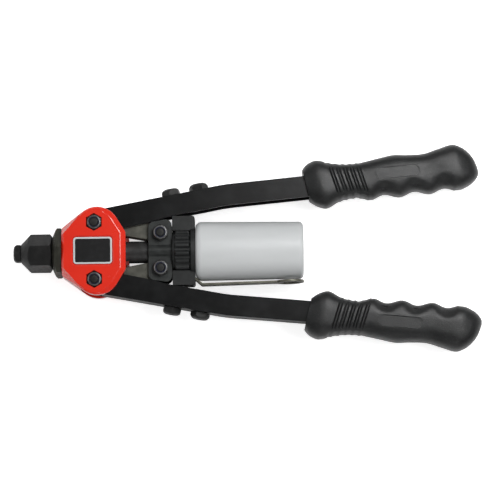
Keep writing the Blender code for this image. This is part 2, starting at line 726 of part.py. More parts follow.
def nose_housing():
    corner = HOUSING_FLATS / math.sqrt(3)
    front = HOUSING_FRONT_X
    rear = HOUSING_HEX_REAR_X
    rise = corner - HOUSING_FRONT_RADIUS
    envelope = turned([(front, 0.0), (front, HOUSING_FRONT_RADIUS), (front + rise, corner + 0.0001),
                       (rear - HOUSING_REAR_CHAMFER, corner + 0.0001),
                       (rear, HOUSING_FLATS / 2 - 0.0004), (rear, 0.0)])
    blank = hexagon(HOUSING_FLATS, -rear, -front, turn=HOUSING_TURN)
    spigot = rod(SPIGOT_RADIUS, -HOUSING_REAR_X, -rear + 0.001, LARGE_ROUND)
    past = 0.002
    thread = NOSEPIECE_STEM_RADIUS + SEAT_GAP
    step = NOSEPIECE_REAR_X - 0.0006
    bore = turned([(front - past, 0.0), (front - past, thread), (step, thread),
                   (step + HOUSING_BORE_CONE, HOUSING_BORE_RADIUS),
                   (HOUSING_REAR_X + past, HOUSING_BORE_RADIUS), (HOUSING_REAR_X + past, 0.0)])
    body = cut(joined(shared(blank, envelope), spigot), bore)
    piece("nose_housing", along_x(body), STEEL_BLACK)


def lock_nut():
    corner = LOCK_NUT_FLATS / math.sqrt(3)
    front = LOCK_NUT_FRONT_X
    rear = LOCK_NUT_REAR_X
    envelope = turned([(front, 0.0), (front, 0.0118), (front + 0.0010, 0.0142),
                       (front + 0.0022, 0.0167), (front + 0.0033, corner + 0.0001),
                       (rear, corner + 0.0001), (rear, 0.0)], 28)
    blank = hexagon(LOCK_NUT_FLATS, -rear, -front, turn=LOCK_NUT_TURN)
    bore = rod(SPIGOT_RADIUS + SEAT_GAP, -rear - 0.001, -front + 0.001, LARGE_ROUND)
    piece("lock_nut", along_x(cut(shared(blank, envelope), bore)), STEEL_GREY)


# Chuck

def jaw_case(parent):
    front = JAW_CASE_FRONT_X
    rear = front + JAW_CASE_LENGTH
    mouth = TUBE_RADIUS - 0.0022
    cone_end = front + JAW_CASE_CONE
    case = turned([(front, JAW_CASE_MOUTH_RADIUS), (front, mouth),
                   (front + JAW_CASE_TAPER, TUBE_RADIUS), (rear, TUBE_RADIUS),
                   (rear, JAW_CASE_BORE_RADIUS), (cone_end, JAW_CASE_BORE_RADIUS)],
                  LARGE_ROUND, ring=True)
    piece("jaw_case", along_x(case), STEEL_GREY, parent)


def jaws(parent):
    """Two half cones in the mouth of the jaw case, and the pusher behind them."""
    slope = (JAW_CASE_BORE_RADIUS - JAW_CASE_MOUTH_RADIUS) / JAW_CASE_CONE
    inset = RUNNING_GAP * math.sqrt(1 + slope ** 2)

    def radius(x):
        return JAW_CASE_MOUTH_RADIUS - inset + slope * (x - JAW_CASE_FRONT_X)

    tip = JAW_TIP_X
    rear = tip + JAW_LENGTH
    chamfer = 0.0008
    cone = turned([(tip, 0.0), (tip, radius(tip)), (rear - chamfer, radius(rear - chamfer)),
                   (rear, radius(rear) - chamfer), (rear, 0.0)], SMALL_ROUND)
    bite = rod(JAW_BITE_RADIUS, -rear - 0.001, -tip + 0.001, 12)
    whole = along_x(cut(cone, bite))
    wide = 0.02
    for side, word in ((UP, "upper"), (DOWN, "lower")):
        y_range = sorted((side * JAW_PARTING / 2, side * wide))
        half = shared(whole.copy(), box((tip - wide, rear + wide), y_range, (-wide, wide)))
        piece("jaw_" + word, half, STEEL_GREY, parent)
    front = rear + SEAT_GAP
    outer = JAW_CASE_BORE_RADIUS - RUNNING_GAP
    pusher = turned([(front, TUBE_BORE_RADIUS), (front, outer - 0.0008), (front + 0.0008, outer),
                     (front + PUSHER_LENGTH, outer), (front + PUSHER_LENGTH, TUBE_BORE_RADIUS)],
                    SMALL_ROUND, ring=True)
    piece("jaw_pusher", along_x(pusher), STEEL_GREY, parent)
    return front + PUSHER_LENGTH


def jaw_spring(parent, start):
    """Open coil between the pusher and the end of the pull tube."""
    wire = SPRING_WIRE_RADIUS
    first = start + SEAT_GAP + wire
    last = TUBE_FRONT_X - SEAT_GAP - wire
    radius = JAW_CASE_BORE_RADIUS - RUNNING_GAP - wire
    turn_steps = 10
    count = SPRING_COILS * turn_steps
    curve = bpy.data.curves.new("coil", 'CURVE')
    curve.dimensions = '3D'
    curve.bevel_depth = wire
    curve.bevel_resolution = 0
    curve.use_fill_caps = True
    spline = curve.splines.new('POLY')
    spline.points.add(count)
    for index, point in enumerate(spline.points):
        angle = 2 * math.pi * index / turn_steps
        x = first + (last - first) * index / count
        point.co = (x, radius * math.cos(angle), radius * math.sin(angle), 1.0)
    builder = bmesh.new()
    builder.from_mesh(evaluated(carrier(curve)))
    bmesh.ops.remove_doubles(builder, verts=builder.verts, dist=0.000001)
    piece("jaw_spring", mesh_of(builder), STEEL_BRIGHT, parent)


def pull_tube(parent):
    """Bored tube: spigot for the jaw case, barrel, flatted collar and stem."""
    shoulder = TUBE_FRONT_X + TUBE_SPIGOT_LENGTH + SEAT_GAP
    end = HOLDER_FLOOR_X - SEAT_GAP
    barrel = turned([(TUBE_FRONT_X, 0.0), (TUBE_FRONT_X, TUBE_SPIGOT_RADIUS),
                     (shoulder, TUBE_SPIGOT_RADIUS), (shoulder, TUBE_RADIUS),
                     (COLLAR_FRONT_X, TUBE_RADIUS), (COLLAR_FRONT_X, TUBE_STEM_RADIUS),
                     (end, TUBE_STEM_RADIUS), (end, 0.0)])
    flatted = box((COLLAR_FRONT_X - 0.001, HOLDER_FRONT_X - SEAT_GAP),
                  (-TUBE_COLLAR_HALF_WIDTH, TUBE_COLLAR_HALF_WIDTH), (-0.02, 0.02))
    round_bar = along_x(rod(TUBE_COLLAR_RADIUS, -HOLDER_FRONT_X + SEAT_GAP,
                            -COLLAR_FRONT_X + 0.001, LARGE_ROUND))
    body = joined(along_x(barrel), shared(round_bar, flatted))
    bore = along_x(rod(TUBE_BORE_RADIUS, -end - 0.001, -TUBE_FRONT_X + 0.001, 12))
    piece("pull_tube", cut(body, bore), STEEL_BLACK, parent)


# Bracket

def bracket_plate_mesh():
    """Front plate of the bracket: flat ears and a pressed rib over the tube's collar."""
    front = (BRACKET_FRONT_X, BRACKET_FRONT_HALF_WIDTH)
    rear = (BRACKET_REAR_X, BRACKET_REAR_HALF_WIDTH)
    upper = rounded_corner((BRACKET_FRONT_X, 0.0), front, rear, BRACKET_CORNER)
    upper += rounded_corner(front, rear, (BRACKET_REAR_X, 0.0), BRACKET_CORNER)
    outline = upper + [(x, -y) for x, y in reversed(upper)]
    flat = plate(outline, BRACKET_INNER_FACE, BRACKET_OUTER_FACE)
    lift = Matrix.Translation((0.0, 0.0, BRACKET_INNER_FACE))
    rib = moved(along_x(rod(BRACKET_RIB_RADIUS, -BRACKET_REAR_X, -BRACKET_FRONT_X, 20)), lift)
    hollow_radius = BRACKET_RIB_RADIUS - BRACKET_RIB_WALL
    hollow = moved(along_x(rod(hollow_radius, -BRACKET_REAR_X - 0.001, -BRACKET_FRONT_X + 0.001,
                               12)), lift)
    wide = 0.05
    below = box((-0.1, wide), (-wide, wide), (0.0, BRACKET_INNER_FACE))
    tools = [below, hollow]
    for side in (UP, DOWN):
        tools.append(rod(HOLE_RADIUS, 0.0, 0.02, SMALL_ROUND,
                         (BRACKET_PIN_X, side * BRACKET_PIN_Y)))
    return cut(joined(flat, rib), *tools)


def bracket(parent, nut, insert):
    front = bracket_plate_mesh()
    piece("bracket_plate_front", front, STEEL_BLACK, parent)
    turned_over = Matrix.Rotation(math.pi, 4, 'X')
    piece("bracket_plate_back", moved(front.copy(), turned_over), STEEL_BLACK, parent)
    seat = BRACKET_OUTER_FACE + SEAT_GAP
    bolt = bolt_mesh(-seat, seat + NUT_HEIGHT + BOLT_END_LENGTH)
    for side, word in ((UP, "upper"), (DOWN, "lower")):
        place = (BRACKET_PIN_X, side * BRACKET_PIN_Y, 0.0)
        top = (BRACKET_PIN_X, side * BRACKET_PIN_Y, seat)
        piece("bracket_bolt_" + word, bolt, STEEL_GREY, parent, place)
        piece("bracket_nut_" + word, nut, STEEL_BRIGHT, parent, top)
        piece("bracket_nut_insert_" + word, insert, NYLON_BLUE, parent, top)


# Bottle group

def spanner_line():
    """Middle line of the spanner's strip, from its root in the holder to its far end."""
    return [Vector(SPANNER_ROOT), Vector(SPANNER_KNEE), Vector(SPANNER_END)]


def strip_outline(line, half):
    """Both sides of a bent strip, at a distance on each side of its middle line."""
    first = (line[1] - line[0]).normalized()
    second = (line[2] - line[1]).normalized()
    side_1 = Vector((-first.y, first.x))
    side_2 = Vector((-second.y, second.x))
    mitre = (side_1 + side_2) / (1 + side_1.dot(side_2))
    left = [line[0] + side_1 * half, line[1] + mitre * half, line[2] + side_2 * half]
    right = [line[2] - side_2 * half, line[1] - mitre * half, line[0] - side_1 * half]
    return left, right


def bottle_holder(parent):
    """Moulded holder: ribbed collar round the bottle's neck, between two flat wings."""
    front = HOLDER_FRONT_X
    rear = HOLDER_REAR_X
    ribs_start = front + HOLDER_NECK_LENGTH
    band_start = rear - HOLDER_BAND_LENGTH
    base = HOLDER_RIB_BASE_RADIUS
    collar = along_x(turned([(front, 0.0), (front, HOLDER_NECK_RADIUS),
                             (ribs_start, HOLDER_NECK_RADIUS), (ribs_start, base),
                             (band_start - 0.0006, base), (band_start, HOLDER_RIB_RADIUS + 0.0002),
                             (rear, HOLDER_RIB_RADIUS + 0.0002), (rear, 0.0)],
                            2 * HOLDER_RIBS))
    additions = []
    half = HOLDER_RIB_WIDTH / 2
    rib_end = band_start - 0.0008
    for index in range(HOLDER_RIBS):
        angle = 2 * math.pi * index / HOLDER_RIBS
        if abs(math.sin(angle)) * HOLDER_RIB_RADIUS < HOLDER_NECK_RADIUS + half:
            rib = box((ribs_start, rib_end), (-half, half), (base - 0.002, HOLDER_RIB_RADIUS))
            additions.append(moved(rib, Matrix.Rotation(angle, 4, 'X')))
    inner_y = HOLDER_NECK_RADIUS - 0.0015
    depth = HOLDER_WING_HALF_DEPTH
    for side in (UP, DOWN):
        corners = [HOLDER_WING_CORNER, HOLDER_WING_CORNER / 2, 0.0004, 0.0004]
        outline = rounded_rectangle((front, rear), (inner_y, HOLDER_WING_HALF_WIDTH), corners, 3)

        def outer_edges(start, end):
            flat = abs(start.z - end.z) < 1e-6
            return flat and min(start.y, end.y) > inner_y + 0.0001

        wing = bevelled(plate(outline, -depth, depth), 0.0008, 1, outer_edges)
        if side == DOWN:
            wing = moved(wing, Matrix.Rotation(math.pi, 4, 'X'))
        additions.append(wing)
    body = joined(collar, *additions)
    stem = rod(TUBE_STEM_RADIUS + SEAT_GAP, -HOLDER_FLOOR_X - 0.001, -front + 0.001)
    socket = rod(BOTTLE_NECK_RADIUS + SEAT_GAP, -rear - 0.001, -HOLDER_FLOOR_X, LARGE_ROUND)
    left, right = strip_outline(spanner_line(), SPANNER_THICKNESS / 2 + SEAT_GAP)
    root_back = (left[0] - left[1]).normalized() * SEAT_GAP
    width = SPANNER_HALF_WIDTH + SEAT_GAP
    slot = plate([tuple(left[0] + root_back), tuple(left[1]), tuple(right[1]),
                  tuple(right[2] + root_back)], -width, width)
    piece("bottle_holder", cut(body, along_x(stem), along_x(socket), slot), PLASTIC_BLACK, parent)


def spanner(parent):
    """Flat nosepiece spanner with a bent root and a round ring head."""
    line = spanner_line()
    half = SPANNER_THICKNESS / 2
    left, right = strip_outline(line, half)
    strip = plate([tuple(point) for point in left + right], -SPANNER_HALF_WIDTH,
                  SPANNER_HALF_WIDTH)
    run = (line[2] - line[1]).normalized()
    middle = line[2] - run * SPANNER_HEAD_RADIUS
    slope = math.atan2(run.y, run.x)
    upright = Matrix.Translation((middle.x, middle.y, 0.0)) @ Matrix.Rotation(slope, 4, 'Z')
    upright = upright @ Matrix.Rotation(math.radians(90), 4, 'X')
    disc = moved(rod(SPANNER_HEAD_RADIUS, -half, half, LARGE_ROUND), upright)
    flats = NOSEPIECE_FLATS + 2 * RUNNING_GAP
    hole = moved(hexagon(flats, -0.005, 0.005), upright)
    piece("nosepiece_spanner", cut(joined(strip, disc), hole), STEEL_GREY, parent)


def bottle(parent):
    """Blown bottle: one wall all round, open at the neck."""
    front = BOTTLE_FRONT_X
    rear = BOTTLE_REAR_X
    neck_front = front - BOTTLE_NECK_LENGTH
    shoulder = BOTTLE_SHOULDER_CURVE
    base = BOTTLE_BASE_CURVE
    quarter = math.pi / 2
    half_flat = math.pi / BOTTLE_SIDES
    front_radius = BOTTLE_FRONT_RADIUS / math.cos(half_flat)
    rear_radius = BOTTLE_REAR_RADIUS / math.cos(half_flat)

    def side(inset, steps):
        neck = BOTTLE_NECK_RADIUS - inset
        start = (front + inset + shoulder, front_radius - inset - shoulder)
        end = (rear - inset - base, rear_radius - inset - base)
        round_front = arc(start, shoulder, 2 * quarter, quarter, steps)
        round_rear = arc(end, base, quarter, 0.0, steps)
        return [(neck_front, neck), (front + inset, neck)] + round_front + round_rear

    outer = side(0.0, 3) + [(rear, 0.0)]
    inner = [(rear - BOTTLE_WALL, 0.0)] + side(BOTTLE_WALL, 1)[::-1]
    body = moved(turned(inner + outer, BOTTLE_SIDES), Matrix.Rotation(half_flat, 4, 'Z'))
    piece("mandrel_bottle", along_x(body), PLASTIC_WHITE, parent)


# Arms

def arm_outline():
    """Side of the channel: fork end round the pivot, lug round the crank pin, long bent tail.

    The line runs along X, and outward is +Y. Returns the outline and the crank pin's place."""
    pin_angle = REST_SLOPE - ARM_ANGLE
    pin = (CRANK_RADIUS * math.cos(pin_angle), CRANK_RADIUS * math.sin(pin_angle))
    spread = math.acos((ARM_BACK_OFFSET - ARM_LUG_RADIUS) / CRANK_RADIUS)
    tangent = pin_angle - spread
    fork = arc((0.0, 0.0), ARM_BACK_OFFSET, math.pi / 2, tangent + 2 * math.pi, 8)
    lug_end = math.asin((-ARM_LUG_SHOULDER - pin[1]) / ARM_LUG_RADIUS)
    lug = arc(pin, ARM_LUG_RADIUS, tangent, lug_end, 5)
    back = Vector((ARM_BEND_REACH, ARM_BACK_OFFSET))
    inside = ARM_BACK_OFFSET - ARM_WIDTH
    belly = Vector((ARM_BEND_REACH - ARM_WIDTH * math.tan(ARM_BEND / 2), inside))
    rear = Vector((math.cos(ARM_BEND), -math.sin(ARM_BEND)))
    across = Vector((-math.sin(ARM_BEND), -math.cos(ARM_BEND)))
    end_back = back + rear * ARM_TAIL_LENGTH
    end_belly = end_back + across * ARM_WIDTH
    lower = rounded_corner((ARM_LUG_REACH, inside), belly, end_belly,
                           ARM_BEND_RADIUS - ARM_WIDTH)
    upper = rounded_corner(end_back, back, (0.0, ARM_BACK_OFFSET), ARM_BEND_RADIUS)
    return fork + lug + [(ARM_LUG_REACH, inside)] + lower + [end_belly, end_back] + upper, pin


def arm_hollow():
    """Room between the flanges, open inward, forward of the web and at the tail."""
    top = ARM_BACK_OFFSET - SHEET
    back = Vector((ARM_BEND_REACH - SHEET * math.tan(ARM_BEND / 2), top))
    rear = Vector((math.cos(ARM_BEND), -math.sin(ARM_BEND)))
    end = back + rear * (ARM_TAIL_LENGTH + 0.01)
    bend = rounded_corner((ARM_WEB_START, top), back, end, ARM_BEND_RADIUS - SHEET)
    far = 0.04
    outline = [(-far, -far), (end.x, end.y - far), (end.x, end.y)] + bend[::-1]
    outline += [(ARM_WEB_START, top), (ARM_WEB_START, ARM_BACK_OFFSET + far),
                (-far, ARM_BACK_OFFSET + far)]
    return plate(outline, SHEET - ARM_HALF_DEPTH, ARM_HALF_DEPTH - SHEET)


def spare_frame(place):
    """Turn and place of a nosepiece that is screwed into the web from outside."""
    seat = Matrix.Translation((place, ARM_BACK_OFFSET + SEAT_GAP, 0.0))
    return seat @ Matrix.Rotation(math.radians(-90), 4, 'X')


def arm_channel_mesh():
    outline, pin = arm_outline()
    blank = plate(outline, -ARM_HALF_DEPTH, ARM_HALF_DEPTH)
    tail_drop = math.tan(ARM_BEND)

    def along_the_back(start, end):
        for point in (start, end):
            past_bend = max(point.x - ARM_BEND_REACH, 0.0)
            line = ARM_BACK_OFFSET - past_bend * tail_drop
            if abs(abs(point.z) - ARM_HALF_DEPTH) > 1e-6 or abs(point.y - line) > 0.0003:
                return False
            if point.x < -1e-6:
                return False
        return abs(start.z - end.z) < 1e-6 and abs(start.x - end.x) > 1e-5

    blank = bevelled(blank, ARM_EDGE_RADIUS, 2, along_the_back)
    tools = [arm_hollow(), rod(BUSH_RADIUS + SEAT_GAP, -0.02, 0.02)]
    tools.append(rod(CRANK_PIN_RADIUS + SEAT_GAP, -0.02, 0.02, SMALL_ROUND, pin))
    for place in SPARE_PLACES:
        hole = rod(NOSEPIECE_STEM_RADIUS + SEAT_GAP, -0.008, 0.004)
        tools.append(moved(hole, spare_frame(place)))
    return cut(blank, *tools), pin


def grip_section(place, depth_loss=0.0):
    """Ring of points round the grip: a superellipse between the outer and the inner rail."""
    outer = smooth_rail(GRIP_OUTER_RAIL, place)
    inner = smooth_rail(GRIP_INNER_RAIL, place)
    if FINGER_START < place < FINGER_END:
        wave = math.cos(2 * math.pi * (place - FINGER_CREST) / FINGER_PITCH)
        inner = FINGER_LINE - FINGER_DEPTH * wave
    middle = (outer + inner) / 2
    half_width = (outer - inner) / 2 - depth_loss
    half_depth = smooth_rail(GRIP_DEPTH_RAIL, place) - depth_loss
    ring = []
    for index in range(GRIP_SIDES):
        angle = 2 * math.pi * (index + 0.5) / GRIP_SIDES
        cosine, sine = math.cos(angle), math.sin(angle)
        across = math.copysign(abs(cosine) ** (2 / GRIP_EXPONENT), cosine) * half_width
        up = math.copysign(abs(sine) ** (2 / GRIP_EXPONENT), sine) * half_depth
        outward = middle + across
        ring.append((place - GRIP_LEAN * (outward - GRIP_LEAN_CENTRE), outward, up))
    return ring


def grip_stations():
    """Places of the sections, each with how deep a groove sinks the skin there."""
    grooves = [GROOVE_FIRST + index * GROOVE_PITCH for index in range(GROOVE_COUNT)]
    half = GROOVE_WIDTH / 2
    stations = [(place, 0.0) for place, _ in GRIP_OUTER_RAIL if place < grooves[0] - half]
    for groove in grooves:
        stations += [(groove - half, 0.0), (groove, GROOVE_DEPTH), (groove + half, 0.0)]
    quarter = FINGER_PITCH / 4
    place = FINGER_CREST
    while place < FINGER_END:
        if place > stations[-1][0]:
            stations.append((place, 0.0))
        place += quarter
    return stations + [(place, 0.0) for place, _ in GRIP_OUTER_RAIL if place > FINGER_END]


def grip_mesh():
    """Moulded grip, lofted through its sections, with a socket for the end of the arm."""
    builder = bmesh.new()
    rings = [[builder.verts.new(point) for point in grip_section(place, sink)]
             for place, sink in grip_stations()]
    for ring, following in zip(rings, rings[1:]):
        for index in range(GRIP_SIDES):
            after = (index + 1) % GRIP_SIDES
            builder.faces.new((ring[index], ring[after], following[after], following[index]))
    builder.faces.new(rings[0][::-1])
    builder.faces.new(rings[-1])
    bmesh.ops.recalc_face_normals(builder, faces=builder.faces)
    body = mesh_of(builder)
    play = SEAT_GAP
    depth = ARM_HALF_DEPTH + play
    socket_end = GRIP_OUTER_RAIL[0][0] + GRIP_SOCKET_DEPTH + play
    socket = box((0.0, socket_end), (-ARM_WIDTH - play, play), (-depth, depth))
    tools = [socket]
    x, y = PANEL_PLACE
    radius = PANEL_WIDTH / 2
    reach = PANEL_LENGTH / 2 - radius
    panel = wrapped([(x - reach, y, radius), (x + reach, y, radius)], 16)
    face = smooth_rail(GRIP_DEPTH_RAIL, x)
    tools.append(plate(panel, face - PANEL_DEPTH, face + 0.005))
    tools.append(plate(panel, -face - 0.005, PANEL_DEPTH - face))
    return cut(body, *tools)


def link_mesh():
    """Link along X from its bracket eye, with a slotted eye for the crank pin."""
    path = crank_pin_path()
    slot = CRANK_PIN_RADIUS + RUNNING_GAP
    outline = wrapped([(0.0, 0.0, LINK_EYE_RADIUS)]
                      + [(x, y, slot + LINK_SLOT_WALL) for x, y in path])
    opening = wrapped([(x, y, slot) for x, y in path], 16)
    half = LINK_HALF_THICKNESS
    pin_hole = rod(BOLT_RADIUS + RUNNING_GAP, -half - 0.001, half + 0.001)
    return cut(plate(outline, -half, half), pin_hole, plate(opening, -half - 0.001, half + 0.001))


def arm_side(word, arm_pivot, link_pivot, meshes):
    """Pieces of one side. The lower side is the upper one turned over about the pull axis."""
    channel, pin, grip, crank_pin, spare, link = meshes
    line = frame("arm_line_" + word, (0.0, 0.0, 0.0), (0.0, 0.0, ARM_ANGLE), arm_pivot)
    piece("arm_channel_" + word, channel, PAINT_BLACK, line)
    piece("crank_pin_" + word, crank_pin, STEEL_GREY, line, (*pin, 0.0))
    tail = frame("arm_tail_" + word, (ARM_BEND_REACH, ARM_BACK_OFFSET, 0.0),
                 (0.0, 0.0, -ARM_BEND), line)
    seat = ARM_TAIL_LENGTH - GRIP_SOCKET_DEPTH - GRIP_OUTER_RAIL[0][0]
    piece("grip_" + word, grip, RUBBER_GREY, tail, (seat, 0.0, 0.0))
    for number, (place, turn) in enumerate(zip(SPARE_PLACES, SPARE_TURNS), 1):
        stand = spare_frame(place) @ Matrix.Rotation(turn, 4, 'Z')
        piece(f"spare_nosepiece_{word}_{number}", spare, STEEL_BLACK, line,
              stand.to_translation(), stand.to_euler())
    slope = (0.0, 0.0, REST_SLOPE + math.pi)
    link_line = frame("link_line_" + word, (0.0, 0.0, 0.0), slope, link_pivot)
    piece("link_" + word, link, STEEL_GREY, link_line)


def build():
    nut = nut_mesh()
    insert = insert_mesh()
    nose = nosepiece_mesh()

    head_casting()
    label_plate()
    head_fasteners(nut, insert)
    nose_housing()
    lock_nut()
    nosepiece(nose)

    pull = frame("pull_slide", (0.0, 0.0, 0.0))
    jaw_frame = frame("jaw_slide", (0.0, 0.0, 0.0), parent=pull)
    jaw_case(pull)
    spring_start = jaws(jaw_frame)
    jaw_spring(pull, spring_start)
    pull_tube(pull)
    bracket(pull, nut, insert)
    bottle_holder(pull)
    spanner(pull)
    bottle(frame("bottle_slide", (0.0, 0.0, 0.0), parent=pull))

    channel, pin = arm_channel_mesh()
    half_pin = ARM_HALF_DEPTH
    crank_pin = rod(CRANK_PIN_RADIUS, -half_pin, half_pin)
    meshes = (channel, pin, grip_mesh(), crank_pin, nose, link_mesh())
    for word, side in (("upper", UP), ("lower", DOWN)):
        flip = (0.0, 0.0, 0.0) if side == UP else (math.pi, 0.0, 0.0)
        arm_pivot = frame("arm_pivot_" + word, (PIVOT_X, side * PIVOT_Y, 0.0), flip)
        link_pivot = frame("link_pivot_" + word, (BRACKET_PIN_X, side * BRACKET_PIN_Y, 0.0), flip,
                           pull)
        arm_side(word, arm_pivot, link_pivot, meshes)


clear_scene()
PARTS = new_collection("blind_riveter")
CUTTERS = new_collection("cutters")
FRAMES = new_collection("frames")
build()
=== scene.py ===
"""Looks of the long-arm blind riveter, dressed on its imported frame.

Metres. +X runs from the nosepiece along the pull axis to the grips, +Y to the upper arm, +Z out
of the side of the head that carries the label plate.
"""

import math

import bmesh
import bpy
from mathutils import Matrix, Vector


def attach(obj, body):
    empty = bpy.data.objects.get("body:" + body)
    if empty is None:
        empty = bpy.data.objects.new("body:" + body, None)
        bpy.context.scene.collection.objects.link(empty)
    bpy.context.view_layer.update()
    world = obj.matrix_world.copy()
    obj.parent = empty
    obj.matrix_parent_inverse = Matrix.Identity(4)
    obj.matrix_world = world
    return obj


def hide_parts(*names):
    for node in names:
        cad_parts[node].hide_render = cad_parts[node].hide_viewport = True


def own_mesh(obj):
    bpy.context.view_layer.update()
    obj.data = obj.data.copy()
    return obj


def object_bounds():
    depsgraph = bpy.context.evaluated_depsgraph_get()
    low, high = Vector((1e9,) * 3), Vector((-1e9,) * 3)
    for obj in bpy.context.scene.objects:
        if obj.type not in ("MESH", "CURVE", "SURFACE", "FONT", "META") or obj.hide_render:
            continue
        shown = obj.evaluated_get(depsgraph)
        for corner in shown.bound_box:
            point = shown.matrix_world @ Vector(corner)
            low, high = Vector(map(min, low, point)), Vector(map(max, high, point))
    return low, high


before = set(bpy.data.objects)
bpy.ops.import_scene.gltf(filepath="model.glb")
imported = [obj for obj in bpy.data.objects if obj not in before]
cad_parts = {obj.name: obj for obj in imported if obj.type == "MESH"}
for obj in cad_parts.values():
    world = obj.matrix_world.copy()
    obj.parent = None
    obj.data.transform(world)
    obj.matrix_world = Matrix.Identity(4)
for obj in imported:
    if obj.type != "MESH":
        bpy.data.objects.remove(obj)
cad_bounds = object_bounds()


# Table, lamps and camera
# The tool lies on a plain white table under a small soft lamp close to its upper right, with
# three more further off, and is seen from almost straight above.
TABLE_GAP = 0.0002
TABLE_TOP = cad_bounds[0][2] - TABLE_GAP
TABLE_REACH = 12.0
TABLE_WHITE = 0.93
TABLE_GLOW = 0.62
ROOM_LEVEL = 0.45
CEILING_GREY = 0.05
CEILING_EDGE = (0.04, 0.30)
# Each lamp's name, place, width and watts. All of them face the middle of the tool.
LAMPS = (("lamp_above", (0.17, 0.19, 0.49), 0.26, 2.1),
         ("lamp_right", (0.62, -0.08, 0.95), 0.28, 2.4),
         ("lamp_front", (0.10, -0.95, 0.70), 0.60, 1.4),
         ("lamp_nose", (-0.95, 0.10, 0.55), 0.50, 1.4))
PHOTO_ELEVATION = math.radians(82.95)
PHOTO_ROLL = math.radians(0.80)
PHOTO_DISTANCE = 2.0
PHOTO_SPAN = 0.354
PHOTO_AIM = Vector((0.0022, 0.0006, 0.0))

scene = bpy.context.scene
scene.view_settings.view_transform = 'Standard'

table_builder = bmesh.new()
bmesh.ops.create_grid(table_builder, x_segments=1, y_segments=1, size=TABLE_REACH)
bmesh.ops.translate(table_builder, verts=table_builder.verts, vec=(0.0, 0.0, TABLE_TOP))
table_mesh = bpy.data.meshes.new("table")
table_builder.to_mesh(table_mesh)
table_builder.free()
table = bpy.data.objects.new("table", table_mesh)
scene.collection.objects.link(table)
table_paint = bpy.data.materials.new("table_paint")
table_paint.use_nodes = True
table_tree = table_paint.node_tree
table_shader = table_tree.nodes["Principled BSDF"]
table_shader.inputs["Base Color"].default_value = (TABLE_WHITE, TABLE_WHITE, TABLE_WHITE, 1.0)
table_shader.inputs["Roughness"].default_value = 0.9
table_shader.inputs["Specular IOR Level"].default_value = 0.0
table_shader.inputs["Emission Color"].default_value = (1.0, 1.0, 1.0, 1.0)
table_rays = table_tree.nodes.new("ShaderNodeLightPath")
table_glow = table_tree.nodes.new("ShaderNodeMath")
table_glow.operation = 'MULTIPLY'
table_glow.inputs[1].default_value = TABLE_GLOW
table_seen = table_tree.nodes.new("ShaderNodeMath")
table_seen.operation = 'MAXIMUM'
table_tree.links.new(table_rays.outputs["Is Camera Ray"], table_seen.inputs[0])
table_tree.links.new(table_rays.outputs["Is Transmission Ray"], table_seen.inputs[1])
table_tree.links.new(table_seen.outputs[0], table_glow.inputs[0])
table_tree.links.new(table_glow.outputs[0], table_shader.inputs["Emission Strength"])
table.data.materials.append(table_paint)

world = bpy.data.worlds.new("studio")
scene.world = world
world.use_nodes = True
world_tree = world.node_tree
world_back = world_tree.nodes["Background"]
world_back.inputs["Color"].default_value = (1.0, 1.0, 1.0, 1.0)
world_rays = world_tree.nodes.new("ShaderNodeLightPath")
world_seen = world_tree.nodes.new("ShaderNodeMath")
world_seen.operation = 'MAXIMUM'
world_place = world_tree.nodes.new("ShaderNodeTexCoord")
world_height = world_tree.nodes.new("ShaderNodeSeparateXYZ")
world_ceiling = world_tree.nodes.new("ShaderNodeMapRange")
world_ceiling.interpolation_type = 'SMOOTHSTEP'
world_ceiling.inputs["From Min"].default_value = CEILING_EDGE[0]
world_ceiling.inputs["From Max"].default_value = CEILING_EDGE[1]
world_ceiling.inputs["To Min"].default_value = 1.0
world_ceiling.inputs["To Max"].default_value = CEILING_GREY
world_mirrored = world_tree.nodes.new("ShaderNodeMix")
world_mirrored.inputs[2].default_value = ROOM_LEVEL
world_level = world_tree.nodes.new("ShaderNodeMix")
world_level.inputs[3].default_value = 1.0
world_tree.links.new(world_rays.outputs["Is Glossy Ray"], world_seen.inputs[0])
world_tree.links.new(world_rays.outputs["Is Transmission Ray"], world_seen.inputs[1])
world_tree.links.new(world_place.outputs["Generated"], world_height.inputs[0])
world_tree.links.new(world_height.outputs["Z"], world_ceiling.inputs["Value"])
world_tree.links.new(world_seen.outputs[0], world_mirrored.inputs[0])
world_tree.links.new(world_ceiling.outputs["Result"], world_mirrored.inputs[3])
world_tree.links.new(world_rays.outputs["Is Camera Ray"], world_level.inputs[0])
world_tree.links.new(world_mirrored.outputs[0], world_level.inputs[2])
world_tree.links.new(world_level.outputs[0], world_back.inputs["Strength"])

for name, place, size, watts in LAMPS:
    light = bpy.data.lights.new(name, 'AREA')
    light.size = size
    light.energy = watts
    lamp = bpy.data.objects.new(name, light)
    lamp.location = place
    lamp.rotation_euler = (-Vector(place)).to_track_quat('-Z', 'Y').to_euler()
    scene.collection.objects.link(lamp)

camera = bpy.data.cameras.new("photo_camera")
camera.angle = 2 * math.atan(PHOTO_SPAN / 2 / PHOTO_DISTANCE)
camera.clip_start = 0.01
camera_stand = bpy.data.objects.new("photo_camera", camera)
camera_back = Vector((0.0, -math.cos(PHOTO_ELEVATION), math.sin(PHOTO_ELEVATION)))
camera_stand.location = PHOTO_AIM + camera_back * PHOTO_DISTANCE
camera_turn = Matrix.Rotation(math.pi / 2 - PHOTO_ELEVATION, 4, 'X')
camera_turn = camera_turn @ Matrix.Rotation(-PHOTO_ROLL, 4, 'Z')
camera_stand.rotation_euler = camera_turn.to_euler()
scene.collection.objects.link(camera_stand)
scene.camera = camera_stand


